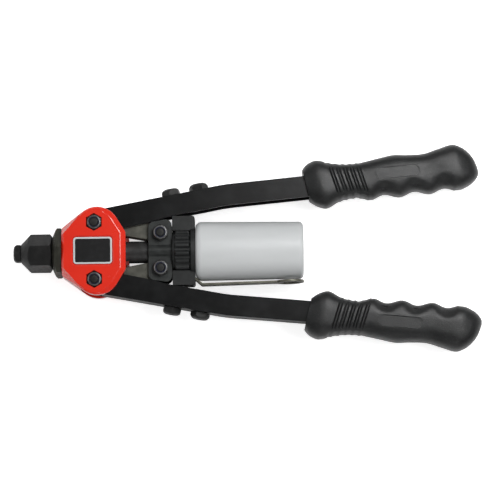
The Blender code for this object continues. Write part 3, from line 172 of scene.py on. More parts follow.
# Head casting
# Die-cast body in glossy red enamel that holds the nose, guides the pull tube and carries both
# arms between its two cheeks. Cast with a slanted rim round both faces and two ears on the rear
# boss, their dark red a painted shade, then bored and slotted.
PIVOT_X = -0.1074
PIVOT_Y = 0.0202
HEAD_FRONT_X = -0.1304
HEAD_REAR_X = -0.0853
HEAD_HALF_THICKNESS = 0.0155
HEAD_LOBE = 0.0159
HEAD_LOBE_CENTRE = (-0.1053, 0.0153)
HEAD_FACE_HALF_WIDTH = 0.0105
HEAD_FRONT_HALF_WIDTH = 0.0170
HEAD_REAR_HALF_WIDTH = 0.0132
HEAD_FACET_LOW = 0.0080
HEAD_CORNER = 0.0016
RIM_FRONT = 0.0015
RIM_REAR = 0.0041
RIM_FRONT_DROP = 0.0013
RIM_REAR_DROP = 0.0027
RIM_TURN = (-0.1040, -0.0980)
RIM_STEPS = ((0.0, 1.0), (0.01, 0.92), (0.04, 0.83), (0.10, 0.735), (0.50, 0.37), (0.62, 0.262),
             (0.70, 0.190), (0.76, 0.136), (0.81, 0.094), (0.86, 0.060), (0.93, 0.026), (1.0, 0.0))
HEAD_BOSS_END_X = -0.0834
BOSS_RADIUS = 0.0120
BOSS_CHAMFER = 0.0006
BOSS_FLAT = 0.0046
BORE_RADIUS = 0.0082
CHEEK_FACE = 0.0093
BOLT_HOLE = 0.0033
POCKET_FLATS = 0.0110
POCKET_FLOOR = 0.0110
LABEL_X = -0.1084
LABEL_SIZE = (0.0272, 0.0190)
LABEL_CORNER = 0.0022
LABEL_RECESS = 0.0010
FIT = 0.0003
SIDES = 64
LIE_DOWN = Matrix(((0, 0, 1, 0), (1, 0, 0, 0), (0, 1, 0, 0), (0, 0, 0, 1)))


def solid(builder):
    """Closed mesh with its faces outward."""
    bmesh.ops.recalc_face_normals(builder, faces=builder.faces)
    mesh = bpy.data.meshes.new("solid")
    builder.to_mesh(mesh)
    builder.free()
    return mesh


def lofted(rings):
    """Solid through rings of points, closed at both ends."""
    builder = bmesh.new()
    placed_rings = [[builder.verts.new(point) for point in ring] for ring in rings]
    builder.faces.new(placed_rings[0])
    builder.faces.new(placed_rings[-1])
    for ring, following in zip(placed_rings, placed_rings[1:]):
        for index in range(len(ring)):
            after = (index + 1) % len(ring)
            builder.faces.new((ring[index], ring[after], following[after], following[index]))
    return solid(builder)


def prism(outline, low, high):
    """Solid along Z with a given outline."""
    return lofted([[(x, y, z) for x, y in outline] for z in (low, high)])


def block(x_range, y_range, z_range):
    """Straight-sided block."""
    corners = [(x_range[0], y_range[0]), (x_range[1], y_range[0]),
               (x_range[1], y_range[1]), (x_range[0], y_range[1])]
    return prism(corners, *z_range)


def turned(profile, sides=SIDES):
    """Solid turned about the X axis. The (x, radius) pairs run from the axis back to the axis,
    or round a closed section."""
    builder = bmesh.new()
    rings = []
    for x, radius in profile:
        if radius < 1e-9:
            rings.append([builder.verts.new((x, 0.0, 0.0))])
            continue
        angles = [2 * math.pi * index / sides for index in range(sides)]
        rings.append([builder.verts.new((x, radius * math.cos(a), radius * math.sin(a)))
                      for a in angles])
    pairs = list(zip(rings, rings[1:]))
    if len(rings[0]) > 1:
        pairs.append((rings[-1], rings[0]))
    for first, second in pairs:
        for index in range(sides):
            after = (index + 1) % sides
            corners = [first[index % len(first)], first[after % len(first)],
                       second[after % len(second)], second[index % len(second)]]
            builder.faces.new(list(dict.fromkeys(corners)))
    return solid(builder)


def hexagon(flats, low, high, turn=0.0):
    """Hexagon bar along X, one corner turned from +Y towards +Z."""
    corner = flats / math.sqrt(3)
    outline = [(corner * math.cos(turn + math.radians(60 * k)),
                corner * math.sin(turn + math.radians(60 * k))) for k in range(6)]
    bar = prism(outline, low, high)
    bar.transform(LIE_DOWN)
    return bar


def placed(mesh, matrix):
    """Copy of a mesh in another place."""
    copy = mesh.copy()
    copy.transform(matrix)
    if matrix.determinant() < 0:
        copy.flip_normals()
    return copy


def upright(place):
    """Stands a piece that was made along X on its end, at a place."""
    return Matrix.Translation(place) @ Matrix.Rotation(math.radians(-90), 4, 'Y')


def on_bench(mesh):
    """Blank or tool in the scene, ready to be worked on."""
    thing = bpy.data.objects.new("blank", mesh)
    scene.collection.objects.link(thing)
    return thing


def taken_off(thing):
    """Mesh of a worked blank, which is then cleared away."""
    bpy.context.view_layer.update()
    graph = bpy.context.evaluated_depsgraph_get()
    mesh = bpy.data.meshes.new_from_object(thing.evaluated_get(graph))
    bpy.data.objects.remove(thing)
    return mesh


def machined(mesh, operation, *tools):
    """Cut tools from a blank, join them to it, or keep what they share."""
    blank = on_bench(mesh)
    cutters = [on_bench(tool) for tool in tools]
    for cutter in cutters:
        step = blank.modifiers.new("step", 'BOOLEAN')
        step.operation = operation
        step.object = cutter
    result = taken_off(blank)
    for cutter in cutters:
        bpy.data.objects.remove(cutter)
    return result


def eased(mesh, width, steps=2, angle=32.0):
    """Break the sharp edges with a small round."""
    blank = on_bench(mesh)
    weld = blank.modifiers.new("weld", 'WELD')
    weld.merge_threshold = 0.000005
    step = blank.modifiers.new("edge", 'BEVEL')
    step.width = width
    step.segments = steps
    step.limit_method = 'ANGLE'
    step.angle_limit = math.radians(angle)
    return taken_off(blank)


def rounded_edges(mesh, width, steps, chosen):
    """Round only the edges for which chosen(start, end) is true."""
    builder = bmesh.new()
    builder.from_mesh(mesh)
    edges = [edge for edge in builder.edges if chosen(edge.verts[0].co, edge.verts[1].co)]
    bmesh.ops.bevel(builder, geom=edges, offset=width, segments=steps, profile=0.5,
                    affect='EDGES', clamp_overlap=True)
    bmesh.ops.remove_doubles(builder, verts=builder.verts, dist=0.000002)
    return solid(builder)


def shown(name, mesh, finish, crease=35.0):
    """Visible piece with its finish, its flats kept flat."""
    mesh.name = name
    mesh.materials.clear()
    mesh.materials.append(finish)
    mesh.shade_smooth()
    mesh.set_sharp_from_angle(angle=math.radians(crease))
    thing = bpy.data.objects.new(name, mesh)
    scene.collection.objects.link(thing)
    level = thing.modifiers.new("flats", 'WEIGHTED_NORMAL')
    level.keep_sharp = True
    return thing


def arc(middle, radius, start, end, steps):
    """Points on an arc, both ends included."""
    angles = [start + (end - start) * index / steps for index in range(steps + 1)]
    return [(middle[0] + radius * math.cos(angle), middle[1] + radius * math.sin(angle))
            for angle in angles]


def corner_round(before, corner, after, radius, steps=8):
    """Arc in place of a corner between two straight stretches."""
    corner = Vector(corner)
    first = (Vector(before) - corner).normalized()
    second = (Vector(after) - corner).normalized()
    half = first.angle(second) / 2
    middle = corner + (first + second).normalized() * (radius / math.sin(half))
    run = radius / math.tan(half)
    start = corner + first * run - middle
    end = corner + second * run - middle
    start_angle = math.atan2(start.y, start.x)
    sweep = math.remainder(math.atan2(end.y, end.x) - start_angle, 2 * math.pi)
    return arc(middle, radius, start_angle, start_angle + sweep, steps)


def rounded_rectangle(x_range, y_range, corners, steps=8):
    """Outline with a radius for each corner, from +X+Y round to +X-Y."""
    outline = []
    signs = ((1, 1), (-1, 1), (-1, -1), (1, -1))
    for quarter, ((sign_x, sign_y), radius) in enumerate(zip(signs, corners)):
        x = x_range[1] - radius if sign_x > 0 else x_range[0] + radius
        y = y_range[1] - radius if sign_y > 0 else y_range[0] + radius
        start = quarter * math.pi / 2
        outline += arc((x, y), radius, start, start + math.pi / 2, steps)
    return outline


def touching_angle(point, middle, radius, side):
    """Angle on a circle at which a straight line from the point touches it."""
    x, y = point[0] - middle[0], point[1] - middle[1]
    return math.atan2(y, x) + side * math.acos(radius / math.hypot(x, y))


def ramp(value, start, end):
    """Soft step from 0 to 1 between two values."""
    share = min(max((value - start) / (end - start), 0.0), 1.0)
    return share * share * (3 - 2 * share)


def label_outline(inset=0.0):
    """Outline of the label plate, drawn in by an inset."""
    half_length = LABEL_SIZE[0] / 2 - inset
    half_width = LABEL_SIZE[1] / 2 - inset
    return rounded_rectangle((LABEL_X - half_length, LABEL_X + half_length),
                             (-half_width, half_width), [LABEL_CORNER - inset] * 4)


def second_finish(piece, finish, chosen):
    """Give the faces for which chosen(face) is true a finish of their own."""
    piece.data.materials.append(finish)
    for face in piece.data.polygons:
        if chosen(face):
            face.material_index = 1


def new_finish(name, colour, roughness, metallic=0.0, gleam=0.5):
    """Material with its plain values on the shader itself; the gleam is its specular level."""
    finish = bpy.data.materials.new(name)
    finish.use_nodes = True
    shader = finish.node_tree.nodes["Principled BSDF"]
    shader.inputs["Base Color"].default_value = (*colour, 1.0)
    shader.inputs["Roughness"].default_value = roughness
    shader.inputs["Metallic"].default_value = metallic
    shader.inputs["Specular IOR Level"].default_value = gleam
    return finish


def clouds(finish, grain, low, high, stretch=(1.0, 1.0, 1.0), detail=4.0):
    """Mask that drifts from 0 to 1 over patches of about the grain's size."""
    tree = finish.node_tree
    place = tree.nodes.new("ShaderNodeTexCoord")
    mapping = tree.nodes.new("ShaderNodeMapping")
    mapping.inputs["Scale"].default_value = stretch
    noise = tree.nodes.new("ShaderNodeTexNoise")
    noise.inputs["Scale"].default_value = 1.0 / grain
    noise.inputs["Detail"].default_value = detail
    spread = tree.nodes.new("ShaderNodeMapRange")
    spread.interpolation_type = 'SMOOTHSTEP'
    spread.inputs["From Min"].default_value = low
    spread.inputs["From Max"].default_value = high
    tree.links.new(place.outputs["Object"], mapping.inputs["Vector"])
    tree.links.new(mapping.outputs["Vector"], noise.inputs["Vector"])
    tree.links.new(noise.outputs["Fac"], spread.inputs["Value"])
    return spread.outputs["Result"]


def edges_of(finish, radius, low, high):
    """Mask that rises on outer and inner edges, where the skin turns within the radius."""
    tree = finish.node_tree
    soft = tree.nodes.new("ShaderNodeBevel")
    soft.samples = 6
    soft.inputs["Radius"].default_value = radius
    hard = tree.nodes.new("ShaderNodeNewGeometry")
    match = tree.nodes.new("ShaderNodeVectorMath")
    match.operation = 'DOT_PRODUCT'
    spread = tree.nodes.new("ShaderNodeMapRange")
    spread.interpolation_type = 'SMOOTHSTEP'
    spread.inputs["From Min"].default_value = 1.0 - low
    spread.inputs["From Max"].default_value = 1.0 - high
    tree.links.new(soft.outputs["Normal"], match.inputs[0])
    tree.links.new(hard.outputs["Normal"], match.inputs[1])
    tree.links.new(match.outputs["Value"], spread.inputs["Value"])
    return spread.outputs["Result"]


def both(finish, first, second):
    """Mask where two masks meet."""
    tree = finish.node_tree
    product = tree.nodes.new("ShaderNodeMath")
    product.operation = 'MULTIPLY'
    tree.links.new(first, product.inputs[0])
    tree.links.new(second, product.inputs[1])
    return product.outputs[0]


def tint(finish, mask, colour):
    """Let the base colour go over to another where the mask rises."""
    tree = finish.node_tree
    base = tree.nodes["Principled BSDF"].inputs["Base Color"]
    mix = tree.nodes.new("ShaderNodeMix")
    mix.data_type = 'RGBA'
    mix.inputs[6].default_value = base.default_value
    mix.inputs[7].default_value = (*colour, 1.0)
    if base.is_linked:
        tree.links.new(base.links[0].from_socket, mix.inputs[6])
    tree.links.new(mask, mix.inputs[0])
    tree.links.new(mix.outputs[2], base)


def dull(finish, mask, roughness):
    """Let the roughness go over to another value where the mask rises."""
    tree = finish.node_tree
    rough = tree.nodes["Principled BSDF"].inputs["Roughness"]
    mix = tree.nodes.new("ShaderNodeMix")
    mix.inputs[2].default_value = rough.default_value
    mix.inputs[3].default_value = roughness
    if rough.is_linked:
        tree.links.new(rough.links[0].from_socket, mix.inputs[2])
    tree.links.new(mask, mix.inputs[0])
    tree.links.new(mix.outputs[0], rough)


def relief(finish, mask, depth):
    """Raise the skin by a depth where the mask rises."""
    tree = finish.node_tree
    normal = tree.nodes["Principled BSDF"].inputs["Normal"]
    bump = tree.nodes.new("ShaderNodeBump")
    bump.inputs["Strength"].default_value = 1.0
    bump.inputs["Distance"].default_value = depth
    if normal.is_linked:
        tree.links.new(normal.links[0].from_socket, bump.inputs["Normal"])
    tree.links.new(mask, bump.inputs["Height"])
    tree.links.new(bump.outputs["Normal"], normal)


head_corners = [(HEAD_FRONT_X, HEAD_FRONT_HALF_WIDTH), (HEAD_REAR_X, HEAD_REAR_HALF_WIDTH)]
lobe_start = touching_angle(head_corners[0], HEAD_LOBE_CENTRE, HEAD_LOBE, -1) % (2 * math.pi)
lobe_end = touching_angle(head_corners[1], HEAD_LOBE_CENTRE, HEAD_LOBE, 1)
lobe = arc(HEAD_LOBE_CENTRE, HEAD_LOBE, lobe_start, lobe_end, 28)
head_side = corner_round((HEAD_FRONT_X, 0.0), head_corners[0], lobe[0], HEAD_CORNER) + lobe
head_side += corner_round(lobe[-1], head_corners[1], (HEAD_REAR_X, 0.0), 2 * HEAD_CORNER)
head_outline = head_side + [(x, -y) for x, y in reversed(head_side)]
double_area = sum(x1 * y2 - x2 * y1 for (x1, y1), (x2, y2)
                  in zip(head_outline, head_outline[1:] + head_outline[:1]))
turn_in = math.copysign(1.0, double_area)


def rim_ring(step, face):
    """Outline drawn in and let down at one step of the slanted rim, on one face."""
    share, fall = step
    ring = []
    for index, (x, y) in enumerate(head_outline):
        before = Vector(head_outline[index - 1])
        after = Vector(head_outline[(index + 1) % len(head_outline)])
        along = (after - before).normalized()
        rear = ramp(x, *RIM_TURN)
        inset = share * (RIM_FRONT + (RIM_REAR - RIM_FRONT) * rear)
        drop = fall * (RIM_FRONT_DROP + (RIM_REAR_DROP - RIM_FRONT_DROP) * rear)
        ring.append((x - turn_in * along.y * inset, y + turn_in * along.x * inset,
                     face * (HEAD_HALF_THICKNESS - drop)))
    return ring


head = lofted([rim_ring(step, -1) for step in RIM_STEPS[::-1]]
              + [rim_ring(step, 1) for step in RIM_STEPS])
facet_reach = touching_angle((HEAD_FRONT_X, HEAD_FACE_HALF_WIDTH), HEAD_LOBE_CENTRE, HEAD_LOBE, -1)
facet_blocks = []
for side, face in ((1, 1), (1, -1), (-1, 1), (-1, -1)):
    along = Vector((-math.sin(facet_reach), math.cos(facet_reach) * side, 0.0)).normalized()
    top = Vector((HEAD_FRONT_X, HEAD_FACE_HALF_WIDTH * side, HEAD_HALF_THICKNESS * face))
    low = Vector((HEAD_FRONT_X, HEAD_FRONT_HALF_WIDTH * side, HEAD_FACET_LOW * face))
    outward = along.cross(low - top).normalized()
    if outward.y * side < 0:
        outward = -outward
    basis = Matrix((along, outward.cross(along), outward)).transposed().to_4x4()
    facet_blocks.append(placed(block((-0.05, 0.05), (-0.05, 0.05), (0.0, 0.03)),
                               Matrix.Translation(top) @ basis))
head = machined(head, 'DIFFERENCE', *facet_blocks)
boss = turned([(-0.0950, 0.0), (-0.0950, BOSS_RADIUS),
               (HEAD_BOSS_END_X - BOSS_CHAMFER, BOSS_RADIUS),
               (HEAD_BOSS_END_X, BOSS_RADIUS - BOSS_CHAMFER), (HEAD_BOSS_END_X, 0.0)])
boss = machined(boss, 'INTERSECT',
                block((-0.1000, -0.0800), (-0.0200, 0.0200), (-BOSS_FLAT, BOSS_FLAT)))
head = machined(head, 'UNION', boss)
head_cuts = [turned([(-0.1350, 0.0), (-0.1350, 0.0103), (-0.1193, 0.0103),
                     (-0.1193, BORE_RADIUS), (-0.0780, BORE_RADIUS), (-0.0780, 0.0)])]
for side in (1, -1):
    slot_y = sorted((side * 0.0097, side * 0.0360))
    head_cuts.append(block((-0.1174, -0.0770), slot_y, (-CHEEK_FACE, CHEEK_FACE)))
    bolt_hole = turned([(-0.0200, 0.0), (-0.0200, BOLT_HOLE), (0.0200, BOLT_HOLE), (0.0200, 0.0)],
                       40)
    head_cuts.append(placed(bolt_hole, upright((PIVOT_X, side * PIVOT_Y, 0.0))))
    for pocket in ((POCKET_FLOOR, 0.0200), (-0.0200, -POCKET_FLOOR)):
        head_cuts.append(placed(hexagon(POCKET_FLATS, *pocket),
                                upright((PIVOT_X, side * PIVOT_Y, 0.0))))
head_cuts.append(prism(label_outline(-FIT), HEAD_HALF_THICKNESS - LABEL_RECESS, 0.0200))
lip_low = [(x, y, HEAD_HALF_THICKNESS - 0.7 * LABEL_RECESS) for x, y in label_outline(-FIT)]
lip_high = [(x, y, HEAD_HALF_THICKNESS + 0.0003) for x, y in label_outline(-0.0015)]
head_cuts.append(lofted([lip_low, lip_high]))
head = eased(machined(head, 'DIFFERENCE', *head_cuts), 0.00030)

red_enamel = new_finish("red_enamel", (0.650, 0.022, 0.008), 0.26, gleam=0.30)
enamel_shader = red_enamel.node_tree.nodes["Principled BSDF"]
enamel_shader.inputs["Coat Weight"].default_value = 1.0
enamel_shader.inputs["Coat Roughness"].default_value = 0.07
tint(red_enamel, clouds(red_enamel, 0.0150, 0.35, 0.75), (0.620, 0.019, 0.007))
tint(red_enamel, both(red_enamel, edges_of(red_enamel, 0.0003, 0.06, 0.30),
                      clouds(red_enamel, 0.0030, 0.60, 0.76)), (0.420, 0.018, 0.008))
dull(red_enamel, clouds(red_enamel, 0.0100, 0.30, 0.80), 0.28)
relief(red_enamel, clouds(red_enamel, 0.0016, 0.25, 0.75, detail=1.0), 0.000004)

# Dark red for the ears on the rear boss: painted shade of the place they lie in, not grease on the
# enamel.
painted_shade_enamel = new_finish("painted_shade_enamel", (0.150, 0.009, 0.005), 0.34)
tint(painted_shade_enamel, clouds(painted_shade_enamel, 0.0020, 0.35, 0.70), (0.070, 0.008, 0.006))
relief(painted_shade_enamel, clouds(painted_shade_enamel, 0.0010, 0.25, 0.75), 0.000006)

head_piece = shown("head_shell", head, red_enamel)
# Faces behind the head's rear face take the dark red of painted shade.
second_finish(head_piece, painted_shade_enamel, lambda face: face.center.x > HEAD_REAR_X + 0.0001)
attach(head_piece, "head")
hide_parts("head_casting")


# Label plate
# Thin plate glued in the recess between the pivot nuts: a satin black field inside a bright
# pressed rim.
LABEL_LOW = HEAD_HALF_THICKNESS - LABEL_RECESS + FIT
LABEL_HIGH = LABEL_LOW + 0.0006
LABEL_RIM = 0.0012
LABEL_FIELD = LABEL_HIGH - 0.0002

label = prism(label_outline(), LABEL_LOW, LABEL_HIGH)
label = machined(label, 'DIFFERENCE', prism(label_outline(LABEL_RIM), LABEL_FIELD, 0.0200))
label = eased(label, 0.00008)
bright_rim = new_finish("bright_rim", (0.600, 0.630, 0.640), 0.36, 0.4)
dull(bright_rim, clouds(bright_rim, 0.0010, 0.35, 0.70, (0.15, 1.0, 1.0)), 0.50)
black_field = new_finish("black_field", (0.006, 0.006, 0.0065), 0.42, gleam=0.3)
tint(black_field, clouds(black_field, 0.0040, 0.40, 0.75), (0.010, 0.010, 0.011))
relief(black_field, clouds(black_field, 0.0005, 0.30, 0.70), 0.000004)
label_piece = shown("label_blank", label, bright_rim)
second_finish(label_piece, black_field,
              lambda face: abs(face.center.z - LABEL_FIELD) < 0.00002 and face.normal.z > 0.9)
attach(label_piece, "head")
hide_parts("label_plate")


# Lock nut and nose housing
# Turned from hexagon bar. The housing screws into the head and the thin lock nut holds it;
# both are blackened, the nut worn to a warm grey.
NUT_FRONT_X = -0.1373
NUT_REAR_X = -0.1307
NUT_FLATS = 0.0320
NUT_TURN = math.radians(22)
HOUSING_FRONT_X = -0.1597
HOUSING_REAR_X = -0.1376
HOUSING_FLATS = 0.0240
HOUSING_TURN = math.radians(13)
HOUSING_MOUTH = 0.0067

nut_form = turned([(NUT_FRONT_X, 0.0), (NUT_FRONT_X, 0.0112), (NUT_FRONT_X + 0.0003, 0.0124),
                   (NUT_FRONT_X + 0.0010, 0.0142), (NUT_FRONT_X + 0.0022, 0.0167),
                   (NUT_FRONT_X + 0.0033, 0.0186),
                   (NUT_REAR_X - 0.0008, 0.0186), (NUT_REAR_X, 0.0176), (NUT_REAR_X, 0.0)], 96)
lock_nut = machined(hexagon(NUT_FLATS, NUT_FRONT_X, NUT_REAR_X, NUT_TURN), 'INTERSECT', nut_form)
nut_bore = turned([(-0.1500, 0.0), (-0.1500, 0.0103), (-0.1200, 0.0103), (-0.1200, 0.0)])
lock_nut = eased(machined(lock_nut, 'DIFFERENCE', nut_bore), 0.00025)

housing_corner = HOUSING_FLATS / math.sqrt(3)
cone_run = housing_corner - HOUSING_MOUTH
housing_form = turned([(HOUSING_FRONT_X, 0.0), (HOUSING_FRONT_X, HOUSING_MOUTH - 0.0003),
                       (HOUSING_FRONT_X + 0.0003, HOUSING_MOUTH + 0.0002),
                       (HOUSING_FRONT_X + cone_run, housing_corner + 0.0001),
                       (HOUSING_REAR_X - 0.0016, housing_corner + 0.0001),
                       (HOUSING_REAR_X, 0.0116), (HOUSING_REAR_X, 0.0)], 96)
housing = hexagon(HOUSING_FLATS, HOUSING_FRONT_X, HOUSING_REAR_X, HOUSING_TURN)
housing = machined(housing, 'INTERSECT', housing_form)
spigot = turned([(-0.1390, 0.0), (-0.1390, 0.0100), (-0.1202, 0.0100), (-0.1196, 0.0094),
                 (-0.1196, 0.0)])
housing = machined(housing, 'UNION', spigot)
housing_bore = turned([(-0.1640, 0.0), (-0.1640, 0.0051), (-0.1479, 0.0051),
                       (-0.1454, 0.0085), (-0.1150, 0.0085), (-0.1150, 0.0)])
housing = eased(machined(housing, 'DIFFERENCE', housing_bore), 0.00025)


def blackened(name, colour, worn, roughness, shine):
    """Steel with a chemical black: cloudy, fine turning marks, rubbed pale on its edges."""
    finish = new_finish(name, colour, roughness, shine, 0.3)
    tint(finish, clouds(finish, 0.0060, 0.35, 0.75), tuple(1.5 * part for part in colour))
    rubbed = both(finish, edges_of(finish, 0.0003, 0.02, 0.20),
                  clouds(finish, 0.0016, 0.38, 0.62))
    tint(finish, rubbed, worn)
    dull(finish, clouds(finish, 0.0022, 0.35, 0.70), roughness + 0.14)
    relief(finish, clouds(finish, 0.0004, 0.30, 0.70), 0.000006)
    return finish


black_oxide = blackened("black_oxide", (0.0125, 0.0125, 0.0125), (0.065, 0.064, 0.060), 0.36, 0.2)
worn_black = blackened("worn_black", (0.030, 0.030, 0.023), (0.110, 0.108, 0.088), 0.40, 0.4)

lock_nut_piece = shown("lock_nut_ring", lock_nut, worn_black)
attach(lock_nut_piece, "head")
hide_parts("lock_nut")
housing_piece = shown("nose_sleeve", housing, black_oxide)
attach(housing_piece, "head")
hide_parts("nose_housing")


# Nosepieces
# Five alike, turned from 12 mm hexagon with a domed face and a threaded stem. One is screwed
# into the housing, two are kept in the back of each arm.
TIP_FLATS = 0.0120
TIP_HEAD = 0.0050
TIP_STEM = 0.0048
TIP_STEM_LENGTH = 0.0124
TIP_BORE = 0.0020
TIP_SEAT_X = -0.1600
TIP_TURN = math.radians(29)
THREAD_PITCH = 0.0015

tip_corner = TIP_FLATS / math.sqrt(3)
tip_form = turned([(-TIP_HEAD, 0.0), (-TIP_HEAD, 0.0042), (-TIP_HEAD + 0.0004, 0.0052),
                   (-TIP_HEAD + 0.0010, 0.0059), (-TIP_HEAD + 0.0018, 0.0065),
                   (-TIP_HEAD + 0.0029, tip_corner + 0.0001), (-0.0005, tip_corner + 0.0001),
                   (0.0, 0.0064), (0.0, 0.0)])
tip = machined(hexagon(TIP_FLATS, -TIP_HEAD, 0.0), 'INTERSECT', tip_form)
tip_neck = 0.0010
stem_profile = [(-0.0008, 0.0), (-0.0008, TIP_STEM - 0.0005), (tip_neck, TIP_STEM - 0.0005)]
thread_turns = int((TIP_STEM_LENGTH - tip_neck) / THREAD_PITCH)
for count in range(thread_turns):
    root = tip_neck + count * THREAD_PITCH
    stem_profile += [(root + 0.0005, TIP_STEM), (root + 0.0009, TIP_STEM),
                     (root + 0.0014, TIP_STEM - 0.0005)]
stem_profile += [(TIP_STEM_LENGTH, TIP_STEM - 0.0008), (TIP_STEM_LENGTH, 0.0)]
tip = machined(tip, 'UNION', turned(stem_profile, 40))
tip_bore = turned([(-0.0080, 0.0), (-0.0080, TIP_BORE), (0.0200, TIP_BORE), (0.0200, 0.0)], 32)
tip = eased(machined(tip, 'DIFFERENCE', tip_bore), 0.00015)

tip_place = Matrix.Translation((TIP_SEAT_X, 0.0, 0.0)) @ Matrix.Rotation(TIP_TURN, 4, 'X')
tip_piece = shown("nosepiece_in_use", placed(tip, tip_place), black_oxide)
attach(tip_piece, "head")
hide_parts("nosepiece")


# Chuck
# Jaws, pusher and spring lie in a case on the front of the pull tube, inside the housing:
# hardened steel, oiled, with a bright spring.
oiled_steel = blackened("oiled_steel", (0.170, 0.168, 0.150), (0.360, 0.355, 0.330), 0.34, 0.85)
for name in ("jaw_case", "jaw_upper", "jaw_lower", "jaw_pusher"):
    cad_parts[name].material_slots[0].material = oiled_steel

SPRING_START_X = -0.12808
SPRING_END_X = -0.12114
SPRING_RADIUS = 0.0051
SPRING_WIRE = 0.0005
SPRING_COILS = 4
SPRING_SAMPLES = 24
coil = bpy.data.curves.new("coil", 'CURVE')
coil.dimensions = '3D'
coil.bevel_depth = SPRING_WIRE
coil.bevel_resolution = 3
coil.use_fill_caps = True
coil_line = coil.splines.new('POLY')
coil_line.points.add(SPRING_COILS * SPRING_SAMPLES)
for index, point in enumerate(coil_line.points):
    angle = 2 * math.pi * index / SPRING_SAMPLES
    share = index / (SPRING_COILS * SPRING_SAMPLES)
    point.co = (SPRING_START_X + (SPRING_END_X - SPRING_START_X) * share,
                SPRING_RADIUS * math.cos(angle), SPRING_RADIUS * math.sin(angle), 1.0)
spring_steel = new_finish("spring_steel", (0.460, 0.450, 0.430), 0.30, 1.0)
tint(spring_steel, clouds(spring_steel, 0.0020, 0.40, 0.70), (0.330, 0.320, 0.300))
spring_piece = shown("chuck_spring", taken_off(on_bench(coil)), spring_steel)
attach(spring_piece, "pull")
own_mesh(spring_piece)
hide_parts("jaw_spring")


# Pivot bolts, bushes and self-locking nuts
# M6 bolts with the nuts let into hexagon pockets on the label side. Each nut has a rolled
# collar over a dark blue nylon ring; the arms turn on steel bushes.
BOLT_RADIUS = 0.0030
BOLT_HEAD = 0.0038
HEX_FLATS = 0.0100
LOCKNUT_HEIGHT = 0.0050
COLLAR_START = 0.00405
COLLAR_REACH = 0.00492
BUSH_RADIUS = 0.0045
BUSH_HALF = 0.0090
HEAD_NUT_SEAT = 0.0113

hex_corner = HEX_FLATS / math.sqrt(3)
locknut_form = turned([(0.0, 0.0), (0.0, 0.0049), (0.0005, hex_corner + 0.0001),
                       (0.0031, hex_corner + 0.0001), (0.0036, 0.0049), (0.0041, 0.0048),
                       (0.0041, 0.0)])
locknut = machined(hexagon(HEX_FLATS, 0.0, 0.0041), 'INTERSECT', locknut_form)
collar = turned([(0.0030, 0.0), (0.0030, 0.00470), (0.0043, 0.00470), (0.0047, 0.00458),
                 (0.00493, 0.00430), (LOCKNUT_HEIGHT, 0.00400), (0.00485, 0.00385),
                 (0.0040, 0.00385), (0.0040, 0.0)], 48)
locknut = machined(locknut, 'UNION', collar)
nut_hole = turned([(-0.0010, 0.0), (-0.0010, BOLT_HOLE), (0.0080, BOLT_HOLE), (0.0080, 0.0)], 40)
locknut = eased(machined(locknut, 'DIFFERENCE', nut_hole), 0.00010)


def fit_locknut(name, place, body, node):
    """Nut with a dark hexagon, partly its black finish and partly painted shade of the pocket it
    sits in, and a bright rolled collar.
    """
    nut = shown(name, locknut.copy(), bolt_steel)
    # The hexagon keeps the dark bolt steel, partly painted shade; only the collar faces take the
    # zinc.
    second_finish(nut, zinc_plate, lambda face: face.center.x > COLLAR_START
                  and math.hypot(face.center.y, face.center.z) < COLLAR_REACH)
    nut.data.transform(place)
    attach(nut, body)
    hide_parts(node)


nylon_ring = turned([(COLLAR_START, 0.00325), (COLLAR_START, 0.00380), (0.00470, 0.00380),
                     (0.00485, 0.00365), (0.00488, 0.00345), (0.00475, 0.00325)], 40)


def bolt(head_seat, end):
    """Hexagon bolt along X: head below its seat, thread turns and a chamfered end."""
    low = head_seat - BOLT_HEAD
    form = turned([(low, 0.0), (low, 0.0046), (low + 0.0002, 0.0049),
                   (low + 0.0008, hex_corner + 0.0001), (head_seat - 0.0003, hex_corner + 0.0001),
                   (head_seat, 0.0050), (head_seat, 0.0)])
    head_part = machined(hexagon(HEX_FLATS, low, head_seat), 'INTERSECT', form)
    profile = [(head_seat - 0.0010, 0.0), (head_seat - 0.0010, BOLT_RADIUS)]
    thread_start = end - 0.0060
    profile.append((thread_start, BOLT_RADIUS))
    for count in range(5):
        root = thread_start + count * 0.0010
        profile += [(root + 0.0004, BOLT_RADIUS - 0.0004), (root + 0.0008, BOLT_RADIUS),
                    (root + 0.0010, BOLT_RADIUS)]
    profile += [(end - 0.0004, BOLT_RADIUS - 0.0001), (end, BOLT_RADIUS - 0.0006), (end, 0.0)]
    return eased(machined(head_part, 'UNION', turned(profile, 40)), 0.00012)


bush_profile = [(-BUSH_HALF, BOLT_HOLE), (-BUSH_HALF, BUSH_RADIUS - 0.0003),
                (-BUSH_HALF + 0.0003, BUSH_RADIUS), (BUSH_HALF - 0.0003, BUSH_RADIUS),
                (BUSH_HALF, BUSH_RADIUS - 0.0003), (BUSH_HALF, BOLT_HOLE)]
bush = turned(bush_profile, 48)
pivot_bolt = bolt(-HEAD_NUT_SEAT, HEAD_NUT_SEAT + LOCKNUT_HEIGHT + 0.0004)

zinc_plate = new_finish("zinc_plate", (0.190, 0.190, 0.190), 0.36, 0.8)
tint(zinc_plate, clouds(zinc_plate, 0.0015, 0.40, 0.70), (0.145, 0.145, 0.145))
tint(zinc_plate, edges_of(zinc_plate, 0.0002, 0.02, 0.20), (0.260, 0.260, 0.265))
relief(zinc_plate, clouds(zinc_plate, 0.0003, 0.30, 0.70), 0.000005)
blue_nylon = new_finish("blue_nylon", (0.010, 0.012, 0.032), 0.45)
tint(blue_nylon, clouds(blue_nylon, 0.0010, 0.40, 0.70), (0.013, 0.016, 0.044))
bolt_steel = blackened("bolt_steel", (0.016, 0.016, 0.0155), (0.085, 0.084, 0.080), 0.40, 0.3)

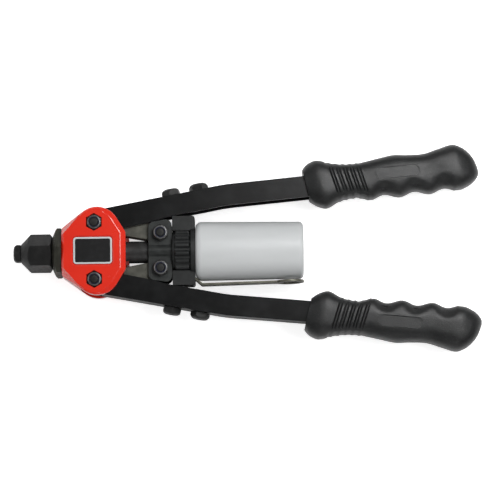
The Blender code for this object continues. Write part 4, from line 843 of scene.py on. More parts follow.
for word, side in (("upper", 1), ("lower", -1)):
    middle = upright((PIVOT_X, side * PIVOT_Y, 0.0))
    top = upright((PIVOT_X, side * PIVOT_Y, HEAD_NUT_SEAT))
    bolt_piece = shown("pivot_bolt_" + word, placed(pivot_bolt, middle), bolt_steel)
    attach(bolt_piece, "head")
    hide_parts("head_pivot_bolt_" + word)
    bush_piece = shown("pivot_bush_" + word, placed(bush, middle), oiled_steel)
    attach(bush_piece, "head")
    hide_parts("arm_pivot_bush_" + word)
    fit_locknut("pivot_nut_" + word, top, "head", "head_pivot_nut_" + word)
    ring_piece = shown("pivot_nut_ring_" + word, placed(nylon_ring, top), blue_nylon)
    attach(ring_piece, "head")
    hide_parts("head_nut_insert_" + word)


# Arms
# Channels pressed from 2.2 mm steel sheet and painted satin black, with a fork end on the
# pivot, a lug for the crank pin and a soft bend half way. The upper one is made here, and the
# lower one is the same piece turned over about the pull axis.
SHEET = 0.0022
ARM_BACK = 0.0089
ARM_WIDTH = 0.0149
ARM_HALF_DEPTH = 0.0090
ARM_ANGLE = math.radians(10.65)
ARM_BEND_REACH = 0.0951
ARM_BEND = math.radians(5.35)
ARM_BEND_RADIUS = 0.1500
ARM_TAIL = 0.1500
CRANK_RADIUS = 0.0150
BRACKET_PIN = (-0.0608, 0.0125)
LUG_RADIUS = 0.0062
WEB_START = 0.0060
SPARE_PLACES = (0.0570, 0.0770)
SPARE_TURNS = (math.radians(8), math.radians(38))

rest_slope = math.atan2(BRACKET_PIN[1] - PIVOT_Y, BRACKET_PIN[0] - PIVOT_X)
pin_angle = rest_slope - ARM_ANGLE
crank_pin = (CRANK_RADIUS * math.cos(pin_angle), CRANK_RADIUS * math.sin(pin_angle))
lug_tangent = pin_angle - math.acos((ARM_BACK - LUG_RADIUS) / CRANK_RADIUS)
lug_end = math.asin((-0.0075 - crank_pin[1]) / LUG_RADIUS)
arm_inside = ARM_BACK - ARM_WIDTH
bend_back = Vector((ARM_BEND_REACH, ARM_BACK))
bend_belly = (ARM_BEND_REACH - ARM_WIDTH * math.tan(ARM_BEND / 2), arm_inside)
tail_run = Vector((math.cos(ARM_BEND), -math.sin(ARM_BEND)))
tail_across = Vector((-math.sin(ARM_BEND), -math.cos(ARM_BEND)))
tail_back = bend_back + tail_run * ARM_TAIL
tail_belly = tail_back + tail_across * ARM_WIDTH
arm_outline = arc((0.0, 0.0), ARM_BACK, math.pi / 2, lug_tangent + 2 * math.pi, 24)
arm_outline += arc(crank_pin, LUG_RADIUS, lug_tangent, lug_end, 12)
arm_outline += corner_round(arm_outline[-1], (0.0400, -0.0071), (0.0500, arm_inside), 0.0300, 4)
arm_outline += corner_round((0.0400, -0.0071), (0.0500, arm_inside), bend_belly, 0.0300, 4)
arm_outline += corner_round((0.0500, arm_inside), bend_belly, tail_belly,
                            ARM_BEND_RADIUS - ARM_WIDTH, 12)
arm_outline += [tuple(tail_belly), tuple(tail_back)]
arm_outline += corner_round(tail_back, bend_back, (0.0, ARM_BACK), ARM_BEND_RADIUS, 12)


def on_back(offset):
    """Chooser of the lengthwise edges that lie an offset in from the back of the arm."""
    half_depth = ARM_HALF_DEPTH - offset

    def chosen(start, end):
        """Whether both ends of an edge lie on that line."""
        for point in (start, end):
            past_bend = max(point.x - ARM_BEND_REACH, 0.0)
            line = ARM_BACK - offset - past_bend * math.tan(ARM_BEND)
            if abs(abs(point.z) - half_depth) > 1e-6 or abs(point.y - line) > 0.0003:
                return False
            if point.x < -1e-6:
                return False
        return abs(start.z - end.z) < 1e-6 and abs(start.x - end.x) > 1e-5

    return chosen


arm = rounded_edges(prism(arm_outline, -ARM_HALF_DEPTH, ARM_HALF_DEPTH), 0.0032, 6, on_back(0.0))
hollow_top = ARM_BACK - SHEET
hollow_back = Vector((ARM_BEND_REACH - SHEET * math.tan(ARM_BEND / 2), hollow_top))
hollow_end = hollow_back + tail_run * (ARM_TAIL + 0.0100)
hollow_bend = corner_round((WEB_START, hollow_top), hollow_back, hollow_end,
                           ARM_BEND_RADIUS - SHEET, 12)
hollow = prism([(WEB_START, -0.0400), (hollow_end.x, hollow_end.y - 0.0400), tuple(hollow_end)]
               + hollow_bend[::-1] + [(WEB_START, hollow_top)],
               SHEET - ARM_HALF_DEPTH, ARM_HALF_DEPTH - SHEET)
hollow = rounded_edges(hollow, 0.0010, 3, on_back(SHEET))
fork_gap = block((-0.0400, WEB_START + 0.0001), (-0.0400, 0.0400),
                 (SHEET - ARM_HALF_DEPTH, ARM_HALF_DEPTH - SHEET))


def cross_hole(radius, place):
    """Tool for a round hole along Z."""
    hole = turned([(-0.0200, 0.0), (-0.0200, radius), (0.0200, radius), (0.0200, 0.0)], 40)
    return placed(hole, upright((*place, 0.0)))


def spare_stand(place, turn):
    """Stand of a spare nosepiece in the arm's back, its face outward."""
    seat = Matrix.Translation((place, ARM_BACK + FIT, 0.0))
    outward = Matrix(((0, 0, 1, 0), (-1, 0, 0, 0), (0, -1, 0, 0), (0, 0, 0, 1)))
    return seat @ outward @ Matrix.Rotation(turn, 4, 'X')


arm_cuts = [hollow, fork_gap, cross_hole(BUSH_RADIUS + FIT, (0.0, 0.0)),
            cross_hole(0.0033, crank_pin)]
spare_hole = turned([(-0.0060, 0.0), (-0.0060, 0.0051), (0.0080, 0.0051), (0.0080, 0.0)], 40)
for place in SPARE_PLACES:
    arm_cuts.append(placed(spare_hole, spare_stand(place, 0.0)))
arm = eased(machined(arm, 'DIFFERENCE', *arm_cuts), 0.00030)

black_paint = new_finish("black_paint", (0.0050, 0.0052, 0.0054), 0.32, gleam=0.16)
tint(black_paint, clouds(black_paint, 0.0140, 0.40, 0.75), (0.0090, 0.0094, 0.0098))
tint(black_paint, both(black_paint, edges_of(black_paint, 0.0004, 0.05, 0.30),
                       clouds(black_paint, 0.0024, 0.56, 0.72)), (0.060, 0.058, 0.054))
dull(black_paint, clouds(black_paint, 0.0040, 0.40, 0.72), 0.40)
relief(black_paint, clouds(black_paint, 0.0009, 0.25, 0.75, detail=1.0), 0.000010)

pin_profile = [(-ARM_HALF_DEPTH, 0.0), (-ARM_HALF_DEPTH, BOLT_RADIUS - 0.0005),
               (-ARM_HALF_DEPTH + 0.0005, BOLT_RADIUS), (ARM_HALF_DEPTH - 0.0005, BOLT_RADIUS),
               (ARM_HALF_DEPTH, BOLT_RADIUS - 0.0005), (ARM_HALF_DEPTH, 0.0)]
pin = turned(pin_profile, 40)
arm_stands = {}
for word, flip in (("upper", 0.0), ("lower", math.pi)):
    turned_over = Matrix.Rotation(flip, 4, 'X')
    stand = turned_over @ Matrix.Translation((PIVOT_X, PIVOT_Y, 0.0))
    arm_stands[word] = stand @ Matrix.Rotation(ARM_ANGLE, 4, 'Z')
    arm_piece = shown("arm_" + word, placed(arm, arm_stands[word]), black_paint)
    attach(arm_piece, "arm_" + word)
    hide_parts("arm_channel_" + word)
    pin_place = arm_stands[word] @ upright((*crank_pin, 0.0))
    pin_piece = shown("crank_rivet_" + word, placed(pin, pin_place), bolt_steel)
    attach(pin_piece, "arm_" + word)
    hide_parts("crank_pin_" + word)
    for number, (place, turn) in enumerate(zip(SPARE_PLACES, SPARE_TURNS), 1):
        spare = placed(tip, arm_stands[word] @ spare_stand(place, turn))
        spare_piece = shown(f"stored_nosepiece_{word}_{number}", spare, black_oxide)
        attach(spare_piece, "arm_" + word)
        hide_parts(f"spare_nosepiece_{word}_{number}")


# Grips
# Moulded on the ends of the arms in dull black rubber: a bulb at the front, five slanted beads
# between grooves, four finger scallops inside and a heel outside, with a long panel on either
# face.
GRIP_AXIS = -0.0070
GRIP_SQUARENESS = 2 / 3
GRIP_LEAN = 0.148
BEAD_LEAN = 0.226
GRIP_OUTER = ((0.0578, 0.0050), (0.0610, 0.0080), (0.0650, 0.0100), (0.0690, 0.0109),
              (0.0790, 0.0083), (0.0886, 0.0064), (0.1005, 0.0062), (0.1120, 0.0076),
              (0.1234, 0.0090), (0.1330, 0.0080), (0.1450, 0.0076), (0.1563, 0.0100),
              (0.1670, 0.0119), (0.1735, 0.0086), (0.1766, 0.0049), (0.1788, 0.0006),
              (0.1799, -0.0041), (0.1802, -0.0070))
GRIP_INNER = ((0.0578, -0.0176), (0.0625, -0.0215), (0.0688, -0.0234), (0.0782, -0.0197),
              (0.0896, -0.0184), (0.1646, -0.0201), (0.1711, -0.0181), (0.1750, -0.0160),
              (0.1780, -0.0134), (0.1797, -0.0110), (0.1802, -0.0092))
GRIP_DEPTH = ((0.0578, 0.0122), (0.0690, 0.0142), (0.0810, 0.0128), (0.1005, 0.0122),
              (0.1234, 0.0130), (0.1450, 0.0124), (0.1650, 0.0140), (0.1735, 0.0118),
              (0.1766, 0.0098), (0.1788, 0.0071), (0.1799, 0.0040), (0.1802, 0.0020))
FINGERS = (0.0890, 0.1607)
FINGER_CREST = 0.1000
FINGER_PITCH = 0.0214
FINGER_LINE = -0.0196
FINGER_DEPTH = 0.0014
FINGER_SPREAD = 0.0022
FINGER_START = (0.0990, 0.1050)
BEADS = [0.0785 + 0.00475 * index for index in range(5)]
BEAD_LIFT = 0.00015
BEAD_HALF = 0.00055
BEAD_GROOVE = 0.0010
BEAD_GROOVE_DEPTH = 0.0009
BEAD_GROOVE_HALF = 0.00032
BEAD_NOTCH = 0.00040
BEAD_NOTCH_HALF = 0.0011
BEADS_START = (0.0735, 0.0770)
BEADS_END = (0.0990, 0.1030)
PANEL = (0.1227, -0.0047)
PANEL_SIZE = (0.0316, 0.0087)
PANEL_SINK = 0.0006
PANEL_GROOVE = 0.00065
PANEL_GROOVE_DEPTH = 0.0007
GRIP_SIDES = 112


def rail(points, place):
    """Value of an even curve through (place, value) pairs."""
    last = len(points) - 2
    index = max(i for i in range(last + 1) if i == 0 or points[i][0] <= place)
    (x1, y1), (x2, y2) = points[index], points[index + 1]
    x0, y0 = points[max(index - 1, 0)]
    x3, y3 = points[min(index + 2, len(points) - 1)]
    span = x2 - x1
    slope_1 = (y2 - y0) / (x2 - x0) * span
    slope_2 = (y3 - y1) / (x3 - x1) * span
    t = min(max((place - x1) / span, 0.0), 1.0)
    return ((2 * t ** 3 - 3 * t ** 2 + 1) * y1 + (t ** 3 - 2 * t ** 2 + t) * slope_1
            + (3 * t ** 2 - 2 * t ** 3) * y2 + (t ** 3 - t ** 2) * slope_2)


def grip_ring(place):
    """Points round the grip at a place along it."""
    outer = rail(GRIP_OUTER, place)
    inner = rail(GRIP_INNER, place)
    valley = 0.0
    if FINGERS[0] < place < FINGERS[1]:
        wave = math.cos(2 * math.pi * (place - FINGER_CREST) / FINGER_PITCH)
        inner = FINGER_LINE - FINGER_DEPTH * wave
        valley = (1 - wave) / 2 * ramp(place, *FINGER_START)
    beads = ramp(place, *BEADS_START) * (1 - ramp(place, *BEADS_END))
    lean = GRIP_LEAN + (BEAD_LEAN - GRIP_LEAN) * beads
    lift = 0.0
    notch = 0.0
    for bead in BEADS:
        off = abs(place - bead)
        lift += BEAD_LIFT * math.exp(-(off / BEAD_HALF) ** 2)
        lift -= BEAD_GROOVE_DEPTH * math.exp(-((off - BEAD_GROOVE) / BEAD_GROOVE_HALF) ** 2)
        notch += math.exp(-(off / BEAD_NOTCH_HALF) ** 2)
    notch = BEAD_NOTCH * (notch - 1.0) * beads
    half_width = (outer - inner) / 2
    half_depth = rail(GRIP_DEPTH, place)
    ring = []
    for index in range(GRIP_SIDES):
        angle = 2 * math.pi * (index + 0.5) / GRIP_SIDES
        cosine, sine = math.cos(angle), math.sin(angle)
        side = math.copysign(abs(cosine) ** GRIP_SQUARENESS, cosine)
        rise = math.copysign(abs(sine) ** GRIP_SQUARENESS, sine)
        across = side * (half_width + notch * ramp(abs(side), 0.80, 0.90))
        scallop = FINGER_SPREAD * valley * ramp(-side, 0.30, 0.90)
        up = rise * (half_depth - scallop + lift * (1 - ramp(abs(side), 0.62, 0.71)))
        outward = (outer + inner) / 2 + across
        ring.append((place - lean * (outward - GRIP_AXIS), outward, up))
    return ring


grip_places = [0.0578 + 0.0011 * index for index in range(16)]
grip_places += [0.0753 + 0.00022 * index for index in range(115)]
grip_places += [0.1006 + 0.0013 * index for index in range(57)]
grip_places += [0.1755, 0.1766, 0.1776, 0.1785, 0.1792, 0.1797, 0.1800, 0.1802]
grip = lofted([grip_ring(place) for place in grip_places])


def panel_outline(inset):
    """Outline of the long panel, drawn in by an inset."""
    half_length = PANEL_SIZE[0] / 2 - inset
    radius = PANEL_SIZE[1] / 2 - inset
    return rounded_rectangle((PANEL[0] - half_length, PANEL[0] + half_length),
                             (PANEL[1] - radius, PANEL[1] + radius), [radius] * 4)


panel_face = rail(GRIP_DEPTH, PANEL[0])
panel_floor = panel_face - PANEL_SINK
panel_tool = prism(panel_outline(0.0), panel_floor - PANEL_GROOVE_DEPTH, 0.0300)
panel_tool = machined(panel_tool, 'DIFFERENCE',
                      prism(panel_outline(PANEL_GROOVE), 0.0, panel_floor))
arm_socket = block((0.0, ARM_TAIL + FIT), (-ARM_WIDTH - FIT, FIT),
                   (-ARM_HALF_DEPTH - FIT, ARM_HALF_DEPTH + FIT))
grip = machined(grip, 'DIFFERENCE', arm_socket, panel_tool,
                placed(panel_tool, Matrix.Scale(-1.0, 4, (0.0, 0.0, 1.0))))
grip = eased(grip, 0.00012, angle=60.0)

grip_rubber = new_finish("grip_rubber", (0.0056, 0.0060, 0.0062), 0.38, gleam=0.43)
tint(grip_rubber, clouds(grip_rubber, 0.0180, 0.35, 0.75), (0.0095, 0.0100, 0.0103))
tint(grip_rubber, clouds(grip_rubber, 0.0007, 0.52, 0.74), (0.0220, 0.0225, 0.0230))
dull(grip_rubber, clouds(grip_rubber, 0.0060, 0.40, 0.72), 0.45)
relief(grip_rubber, clouds(grip_rubber, 0.00060, 0.25, 0.75), 0.000055)

for word in ("upper", "lower"):
    tail = Matrix.Translation((ARM_BEND_REACH, ARM_BACK, 0.0))
    tail = arm_stands[word] @ tail @ Matrix.Rotation(-ARM_BEND, 4, 'Z')
    grip_piece = shown("grip_sleeve_" + word, placed(grip, tail), grip_rubber, crease=60.0)
    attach(grip_piece, "arm_" + word)
    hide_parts("grip_" + word)


# Links
# Flat forged bars that push the bracket when the arms open. The front eye is shaped to let the
# crank pin follow its own path.
LINK_HALF = 0.0060
LINK_EYE = 0.0060
LINK_HOLE = 0.0034
LINK_WALL = 0.0019
OPENING = math.radians(55)
link_length = math.hypot(BRACKET_PIN[0] - PIVOT_X, BRACKET_PIN[1] - PIVOT_Y) - CRANK_RADIUS


def bracket_shift(opening):
    """How far the bracket has moved forward when the arms are open by an angle."""
    rise = PIVOT_Y + CRANK_RADIUS * math.sin(rest_slope + opening) - BRACKET_PIN[1]
    pin_x = PIVOT_X + CRANK_RADIUS * math.cos(rest_slope + opening)
    return BRACKET_PIN[0] - (pin_x + math.sqrt(link_length ** 2 - rise ** 2))


def belt(circles, steps=48):
    """Outline of a belt round circles, each an (x, y, radius)."""
    points = set()
    for x, y, radius in circles:
        for index in range(steps):
            angle = 2 * math.pi * index / steps
            points.add((round(x + radius * math.cos(angle), 7),
                        round(y + radius * math.sin(angle), 7)))
    halves = []
    for ordered in (sorted(points), sorted(points, reverse=True)):
        half = []
        for point in ordered:
            while len(half) > 1:
                ax, ay = half[-1][0] - half[-2][0], half[-1][1] - half[-2][1]
                bx, by = point[0] - half[-1][0], point[1] - half[-1][1]
                if ax * by - ay * bx > 1e-10:
                    break
                half.pop()
            half.append(point)
        halves += half[:-1]
    return halves


full_shift = bracket_shift(OPENING)
full_rise = PIVOT_Y + CRANK_RADIUS * math.sin(rest_slope + OPENING) - BRACKET_PIN[1]
full_turn = rest_slope + math.asin(full_rise / link_length)
pin_path = []
for index in range(9):
    share = index / 8
    crank = rest_slope + OPENING * share
    slope = rest_slope - full_turn * share
    x = PIVOT_X + CRANK_RADIUS * math.cos(crank) - (BRACKET_PIN[0] - full_shift * share)
    y = PIVOT_Y + CRANK_RADIUS * math.sin(crank) - BRACKET_PIN[1]
    pin_path.append((-x * math.cos(slope) - y * math.sin(slope),
                     x * math.sin(slope) - y * math.cos(slope)))
link_outline = belt([(0.0, 0.0, LINK_EYE)]
                    + [(x, y, LINK_HOLE + LINK_WALL) for x, y in pin_path])
link_slot = belt([(x, y, LINK_HOLE) for x, y in pin_path])
link = prism(link_outline, -LINK_HALF, LINK_HALF)
link = rounded_edges(link, 0.0006, 3, lambda a, b: abs(a.z - b.z) < 1e-6)
link = machined(link, 'DIFFERENCE', cross_hole(LINK_HOLE, (0.0, 0.0)),
                prism(link_slot, -0.0100, 0.0100))
link = eased(link, 0.00020, angle=50.0)
link_steel = blackened("link_steel", (0.070, 0.070, 0.059), (0.150, 0.147, 0.125), 0.42, 0.5)

for word, flip in (("upper", 0.0), ("lower", math.pi)):
    stand = Matrix.Rotation(flip, 4, 'X') @ Matrix.Translation((*BRACKET_PIN, 0.0))
    stand = stand @ Matrix.Rotation(rest_slope + math.pi, 4, 'Z')
    link_piece = shown("toggle_link_" + word, placed(link, stand), link_steel)
    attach(link_piece, "link_" + word)
    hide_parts("link_" + word)


# Pull tube
# Bored and ground tube that slides in the head, with a flatted collar between the bracket
# plates and a stem that opens into the bottle.
TUBE_RADIUS = 0.0078
TUBE_BORE = 0.0026
tube_profile = [(-0.12034, 0.0), (-0.12034, 0.0052), (-0.1200, 0.0056), (-0.1130, 0.0056),
                (-0.1130, 0.0075), (-0.1127, TUBE_RADIUS), (-0.0702, TUBE_RADIUS),
                (-0.0697, 0.0073), (-0.0697, 0.0046), (-0.0471, 0.0046), (-0.0467, 0.0042),
                (-0.0467, 0.0)]
tube = turned(tube_profile)
tube_collar = turned([(-0.0705, 0.0), (-0.0705, 0.0061), (-0.0529, 0.0061), (-0.0529, 0.0)])
tube_collar = machined(tube_collar, 'INTERSECT',
                       block((-0.0710, -0.0520), (-0.0056, 0.0056), (-0.0200, 0.0200)))
tube = machined(tube, 'UNION', tube_collar)
tube_hole = turned([(-0.1300, 0.0), (-0.1300, TUBE_BORE), (-0.0400, TUBE_BORE), (-0.0400, 0.0)],
                   32)
tube = eased(machined(tube, 'DIFFERENCE', tube_hole), 0.00015)
tube_black = blackened("tube_black", (0.040, 0.040, 0.040), (0.090, 0.088, 0.084), 0.34, 0.5)
tube_piece = shown("pull_tube_body", tube, tube_black)
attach(tube_piece, "pull")
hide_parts("pull_tube")


# Bracket
# Two pressed plates, alike, bolted together over the collar and the ends of the links. A half
# round rib is pressed out along the middle of each.
BRACKET_FRONT_X = -0.0694
BRACKET_REAR_X = -0.0529
BRACKET_FRONT_HALF_WIDTH = 0.0202
BRACKET_REAR_HALF_WIDTH = 0.0228
BRACKET_CORNER = 0.0042
PLATE_INNER = 0.0064
PLATE_OUTER = 0.0090
RIB_RADIUS = 0.00465
RIB_HOLLOW = 0.00245
RIB_FILLET = 0.0015

fillet_z = PLATE_OUTER + RIB_FILLET - PLATE_INNER
fillet_y = math.sqrt((RIB_RADIUS + RIB_FILLET) ** 2 - fillet_z ** 2)
fillet_turn = math.atan2(fillet_z, fillet_y)
fillet = arc((fillet_y, PLATE_OUTER + RIB_FILLET), RIB_FILLET, 1.5 * math.pi,
             math.pi + fillet_turn, 6)
crown = arc((0.0, PLATE_INNER), RIB_RADIUS, fillet_turn, math.pi / 2, 10)
top_half = [(0.0300, PLATE_OUTER)] + fillet + crown[1:]
section = top_half + [(-y, z) for y, z in reversed(top_half[:-1])]
section += [(-0.0300, PLATE_INNER)] + arc((0.0, PLATE_INNER), RIB_HOLLOW, math.pi, 0.0, 16)
section += [(0.0300, PLATE_INNER)]
rolled = placed(prism(section, BRACKET_FRONT_X, BRACKET_REAR_X), LIE_DOWN)
plate_front = (BRACKET_FRONT_X, BRACKET_FRONT_HALF_WIDTH)
plate_rear = (BRACKET_REAR_X, BRACKET_REAR_HALF_WIDTH)
plate_side = corner_round((BRACKET_FRONT_X, 0.0), plate_front, plate_rear, BRACKET_CORNER)
plate_side += corner_round(plate_front, plate_rear, (BRACKET_REAR_X, 0.0), BRACKET_CORNER)
plan = prism(plate_side + [(x, -y) for x, y in reversed(plate_side)], 0.0, 0.0200)
plate = machined(rolled, 'INTERSECT', plan)
plate_holes = [cross_hole(BOLT_HOLE, (BRACKET_PIN[0], side * BRACKET_PIN[1])) for side in (1, -1)]
plate = machined(plate, 'DIFFERENCE', *plate_holes)
plate = eased(plate, 0.00045, 3)
plate_black = blackened("plate_black", (0.022, 0.024, 0.0235), (0.075, 0.075, 0.070), 0.38, 0.25)
for word, flip in (("front", 0.0), ("back", math.pi)):
    plate_piece = shown("bracket_half_" + word, placed(plate, Matrix.Rotation(flip, 4, 'X')),
                        plate_black)
    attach(plate_piece, "pull")
    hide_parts("bracket_plate_" + word)

PLATE_NUT_SEAT = PLATE_OUTER + FIT
plate_bolt = bolt(-PLATE_NUT_SEAT, PLATE_NUT_SEAT + LOCKNUT_HEIGHT + 0.0004)
for word, side in (("upper", 1), ("lower", -1)):
    middle = upright((BRACKET_PIN[0], side * BRACKET_PIN[1], 0.0))
    top = upright((BRACKET_PIN[0], side * BRACKET_PIN[1], PLATE_NUT_SEAT))
    bolt_piece = shown("link_bolt_" + word, placed(plate_bolt, middle), bolt_steel)
    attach(bolt_piece, "pull")
    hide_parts("bracket_bolt_" + word)
    fit_locknut("link_nut_" + word, top, "pull", "bracket_nut_" + word)
    ring_piece = shown("link_nut_ring_" + word, placed(nylon_ring, top), blue_nylon)
    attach(ring_piece, "pull")
    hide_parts("bracket_nut_insert_" + word)


# Bottle holder
# Moulded black plastic: a collar with eighteen finger ribs round the bottle's neck, between two
# flat wings, pushed on to the stem of the pull tube.
HOLDER_FRONT_X = -0.0526
HOLDER_REAR_X = -0.0366
HOLDER_FLOOR_X = -0.0464
HOLDER_RIBS = 18
RIB_BASE = 0.0153
RIB_TOP = 0.0173
RIB_HALF = 0.00150
RIB_SOFTNESS = 0.00018
RIBS_FRONT_X = -0.0505
RIBS_REAR_X = -0.0406
RIBS_END_SOFTNESS = 0.00012
HOLDER_SPOKES = HOLDER_RIBS * 14


def holder_skin(x, angle):
    """Radius of the ribbed collar at a place along it and round it."""
    phase = (angle * HOLDER_RIBS / (2 * math.pi)) % 1.0
    off_rib = min(phase, 1.0 - phase) * 2 * math.pi / HOLDER_RIBS * RIB_TOP
    swell = 1.0 / (1.0 + math.exp((off_rib - RIB_HALF) / RIB_SOFTNESS))
    front_end = 1.0 / (1.0 + math.exp((RIBS_FRONT_X - x) / RIBS_END_SOFTNESS))
    rear_end = 1.0 / (1.0 + math.exp((x - RIBS_REAR_X) / RIBS_END_SOFTNESS))
    return RIB_BASE + (RIB_TOP - RIB_BASE) * swell * front_end * rear_end


holder_places = [-0.0508, -0.0507, -0.0506, -0.0505, -0.0504, -0.0502, -0.0498, -0.0460,
                 -0.0425, -0.0413, -0.0409, -0.0407, -0.0406, -0.0405, -0.0403, -0.0400]
holder_builder = bmesh.new()


def plain_ring(x, radius):
    """Round ring of the holder's skin."""
    angles = [2 * math.pi * index / HOLDER_SPOKES for index in range(HOLDER_SPOKES)]
    return [holder_builder.verts.new((x, radius * math.cos(a), radius * math.sin(a)))
            for a in angles]


holder_rings = [plain_ring(HOLDER_FRONT_X, 0.0049), plain_ring(HOLDER_FRONT_X, 0.0139),
                plain_ring(HOLDER_FRONT_X + 0.0002, 0.0143),
                plain_ring(HOLDER_FRONT_X + 0.0006, 0.0145), plain_ring(-0.0510, 0.0145)]
for x in holder_places:
    holder_rings.append([holder_builder.verts.new((x, holder_skin(x, a) * math.cos(a),
                                                   holder_skin(x, a) * math.sin(a)))
                         for a in (2 * math.pi * index / HOLDER_SPOKES
                                   for index in range(HOLDER_SPOKES))])
holder_rings += [plain_ring(-0.0397, 0.0170), plain_ring(-0.0394, 0.0174),
                 plain_ring(-0.0370, 0.0174), plain_ring(-0.0367, 0.0173),
                 plain_ring(HOLDER_REAR_X, 0.0170), plain_ring(HOLDER_REAR_X, 0.0133),
                 plain_ring(HOLDER_FLOOR_X, 0.0133), plain_ring(HOLDER_FLOOR_X, 0.0049)]
for ring, following in zip(holder_rings, holder_rings[1:] + holder_rings[:1]):
    for index in range(HOLDER_SPOKES):
        after = (index + 1) % HOLDER_SPOKES
        holder_builder.faces.new((ring[index], ring[after], following[after], following[index]))
holder = solid(holder_builder)
wings = []
for side in (1, -1):
    wing_outline = rounded_rectangle((HOLDER_FRONT_X, HOLDER_REAR_X), (0.0142, 0.0245),
                                     (0.0016, 0.0008, 0.0004, 0.0004), 6)
    wing = rounded_edges(prism(wing_outline, -0.0085, 0.0085), 0.0008, 3,
                         lambda a, b: abs(a.z - b.z) < 1e-6 and min(a.y, b.y) > 0.0144)
    wings.append(placed(wing, Matrix.Rotation(0.0 if side == 1 else math.pi, 4, 'X')))
holder = machined(holder, 'UNION', *wings)

SPANNER_HALF = 0.00085
SPANNER_REACH = 0.0045
SPANNER_KNEE = 0.0016
SPANNER_LINE = (Vector((-0.0392, -0.0171)), Vector((-0.0319, -0.0238)), Vector((0.0402, -0.0221)))


def spanner_strip(half, knee, overrun=0.0):
    """Outline of the bent strip, seen on its edge, run on past both ends."""
    root, bend, end = SPANNER_LINE
    first = (bend - root).normalized()
    second = (end - bend).normalized()
    side_1 = Vector((-first.y, first.x))
    side_2 = Vector((-second.y, second.x))
    mitre = (side_1 + side_2) / (1 + side_1.dot(side_2))
    root = root - first * overrun
    end = end + second * overrun
    left = corner_round(root + side_1 * half, bend + mitre * half, end + side_2 * half,
                        knee - half)
    right = corner_round(root - side_1 * half, bend - mitre * half, end - side_2 * half,
                         knee + half)
    if side_1.dot(second) < 0:
        left, right = right, left
        half = -half
    return ([tuple(root + side_1 * half)] + left + [tuple(end + side_2 * half)]
            + [tuple(end - side_2 * half)] + right[::-1] + [tuple(root - side_1 * half)])


holder = machined(holder, 'DIFFERENCE',
                  prism(spanner_strip(SPANNER_HALF + FIT, SPANNER_KNEE, FIT), -0.0048, 0.0048))
holder_plastic = new_finish("holder_plastic", (0.0095, 0.0105, 0.0105), 0.44, gleam=0.32)
tint(holder_plastic, clouds(holder_plastic, 0.0070, 0.35, 0.75), (0.0135, 0.0148, 0.0148))
dull(holder_plastic, clouds(holder_plastic, 0.0030, 0.40, 0.70), 0.58)
relief(holder_plastic, clouds(holder_plastic, 0.00035, 0.25, 0.75), 0.000015)
holder_piece = shown("bottle_socket", holder, holder_plastic, crease=40.0)
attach(holder_piece, "pull")
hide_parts("bottle_holder")


# Nosepiece spanner
# Flat steel strip with a bent root that clips into the lower wing, and a ring head with a
# hexagon hole for changing nosepieces.
SPANNER_HEAD = 0.0100
SPANNER_JAW = 0.0128
strip_run = (SPANNER_LINE[2] - SPANNER_LINE[1]).normalized()
ring_middle = SPANNER_LINE[2] - strip_run * SPANNER_HEAD
ring_stand = Matrix(((strip_run.x, 0.0, strip_run.y, ring_middle.x),
                     (strip_run.y, 0.0, -strip_run.x, ring_middle.y),
                     (0.0, 1.0, 0.0, 0.0), (0.0, 0.0, 0.0, 1.0)))
waist = math.asin(SPANNER_REACH / SPANNER_HEAD)
key_outline = arc((0.0, 0.0), SPANNER_HEAD, waist - math.pi, math.pi - waist, 48)
key_outline += [(-0.0900, SPANNER_REACH), (-0.0900, -SPANNER_REACH)]
jaw_corner = SPANNER_JAW / math.sqrt(3)
jaw_outline = [(jaw_corner * math.cos(math.radians(60 * k)),
                jaw_corner * math.sin(math.radians(60 * k))) for k in range(6)]
sheet = prism(spanner_strip(SPANNER_HALF, SPANNER_KNEE, 0.0020), -0.0120, 0.0120)
root_cut = block((-0.0600, SPANNER_LINE[0].x), (-0.0400, 0.0), (-0.0200, 0.0200))
spanner = machined(sheet, 'INTERSECT', placed(prism(key_outline, -0.0200, 0.0200), ring_stand))
spanner = machined(spanner, 'DIFFERENCE', root_cut,
                   placed(prism(jaw_outline, -0.0150, 0.0150), ring_stand))
spanner = eased(spanner, 0.00020)
spanner_steel = blackened("spanner_steel", (0.105, 0.104, 0.085), (0.260, 0.255, 0.225), 0.36,
                          0.8)
spanner_piece = shown("stored_spanner", spanner, spanner_steel)
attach(spanner_piece, "pull")
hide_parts("nosepiece_spanner")


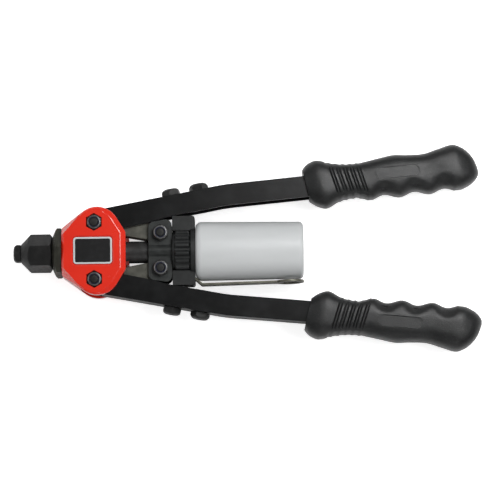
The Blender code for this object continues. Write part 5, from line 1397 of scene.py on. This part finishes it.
# Mandrel bottle
# Blown polyethylene, milky and slightly see-through, with a wide neck that screws into the
# holder. It catches the spent mandrels.
BOTTLE_FRONT_X = -0.0363
BOTTLE_REAR_X = 0.0400
BOTTLE_NECK_X = -0.0453
BOTTLE_WALL = 0.0013
BOTTLE_NECK = 0.0130
BOTTLE_SHOULDER = 0.0209
BOTTLE_SHOULDER_ROUND = 0.0045
BOTTLE_BASE = 0.0203
BOTTLE_BASE_ROUND = 0.0032


def bottle_side(inset, steps):
    """Profile of one skin of the bottle, from the neck's mouth to the base."""
    neck = BOTTLE_NECK - inset
    front_middle = (BOTTLE_FRONT_X + inset + BOTTLE_SHOULDER_ROUND,
                    BOTTLE_SHOULDER - inset - BOTTLE_SHOULDER_ROUND)
    rear_middle = (BOTTLE_REAR_X - inset - BOTTLE_BASE_ROUND,
                   BOTTLE_BASE - inset - BOTTLE_BASE_ROUND)
    front_round = arc(front_middle, BOTTLE_SHOULDER_ROUND, math.pi, math.pi / 2, steps)
    rear_round = arc(rear_middle, BOTTLE_BASE_ROUND, math.pi / 2, 0.0, steps)
    return [(BOTTLE_NECK_X, neck), (BOTTLE_FRONT_X + inset, neck)] + front_round + rear_round


bottle_outer = bottle_side(0.0, 10) + [(BOTTLE_REAR_X, 0.0)]
bottle_inner = [(BOTTLE_REAR_X - BOTTLE_WALL, 0.0)] + bottle_side(BOTTLE_WALL, 8)[::-1]
bottle = turned(bottle_inner + bottle_outer, 96)
milky_plastic = new_finish("milky_plastic", (0.545, 0.560, 0.564), 0.38)
milky = milky_plastic.node_tree.nodes["Principled BSDF"]
milky.inputs["Transmission Weight"].default_value = 0.12
milky.inputs["Subsurface Weight"].default_value = 0.35
milky.inputs["Subsurface Radius"].default_value = (0.004, 0.004, 0.004)
milky.inputs["Subsurface Scale"].default_value = 1.0
milky.inputs["IOR"].default_value = 1.50
tint(milky_plastic, clouds(milky_plastic, 0.0200, 0.35, 0.75, (0.3, 1.0, 1.0)),
     (0.515, 0.531, 0.536))
dull(milky_plastic, clouds(milky_plastic, 0.0040, 0.40, 0.70), 0.48)
relief(milky_plastic, clouds(milky_plastic, 0.0080, 0.20, 0.80, (0.3, 1.0, 1.0), 2.0), 0.000060)
relief(milky_plastic, clouds(milky_plastic, 0.0004, 0.30, 0.70), 0.000006)
bottle_piece = shown("mandrel_catcher", bottle, milky_plastic)
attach(bottle_piece, "bottle")
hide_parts("mandrel_bottle")
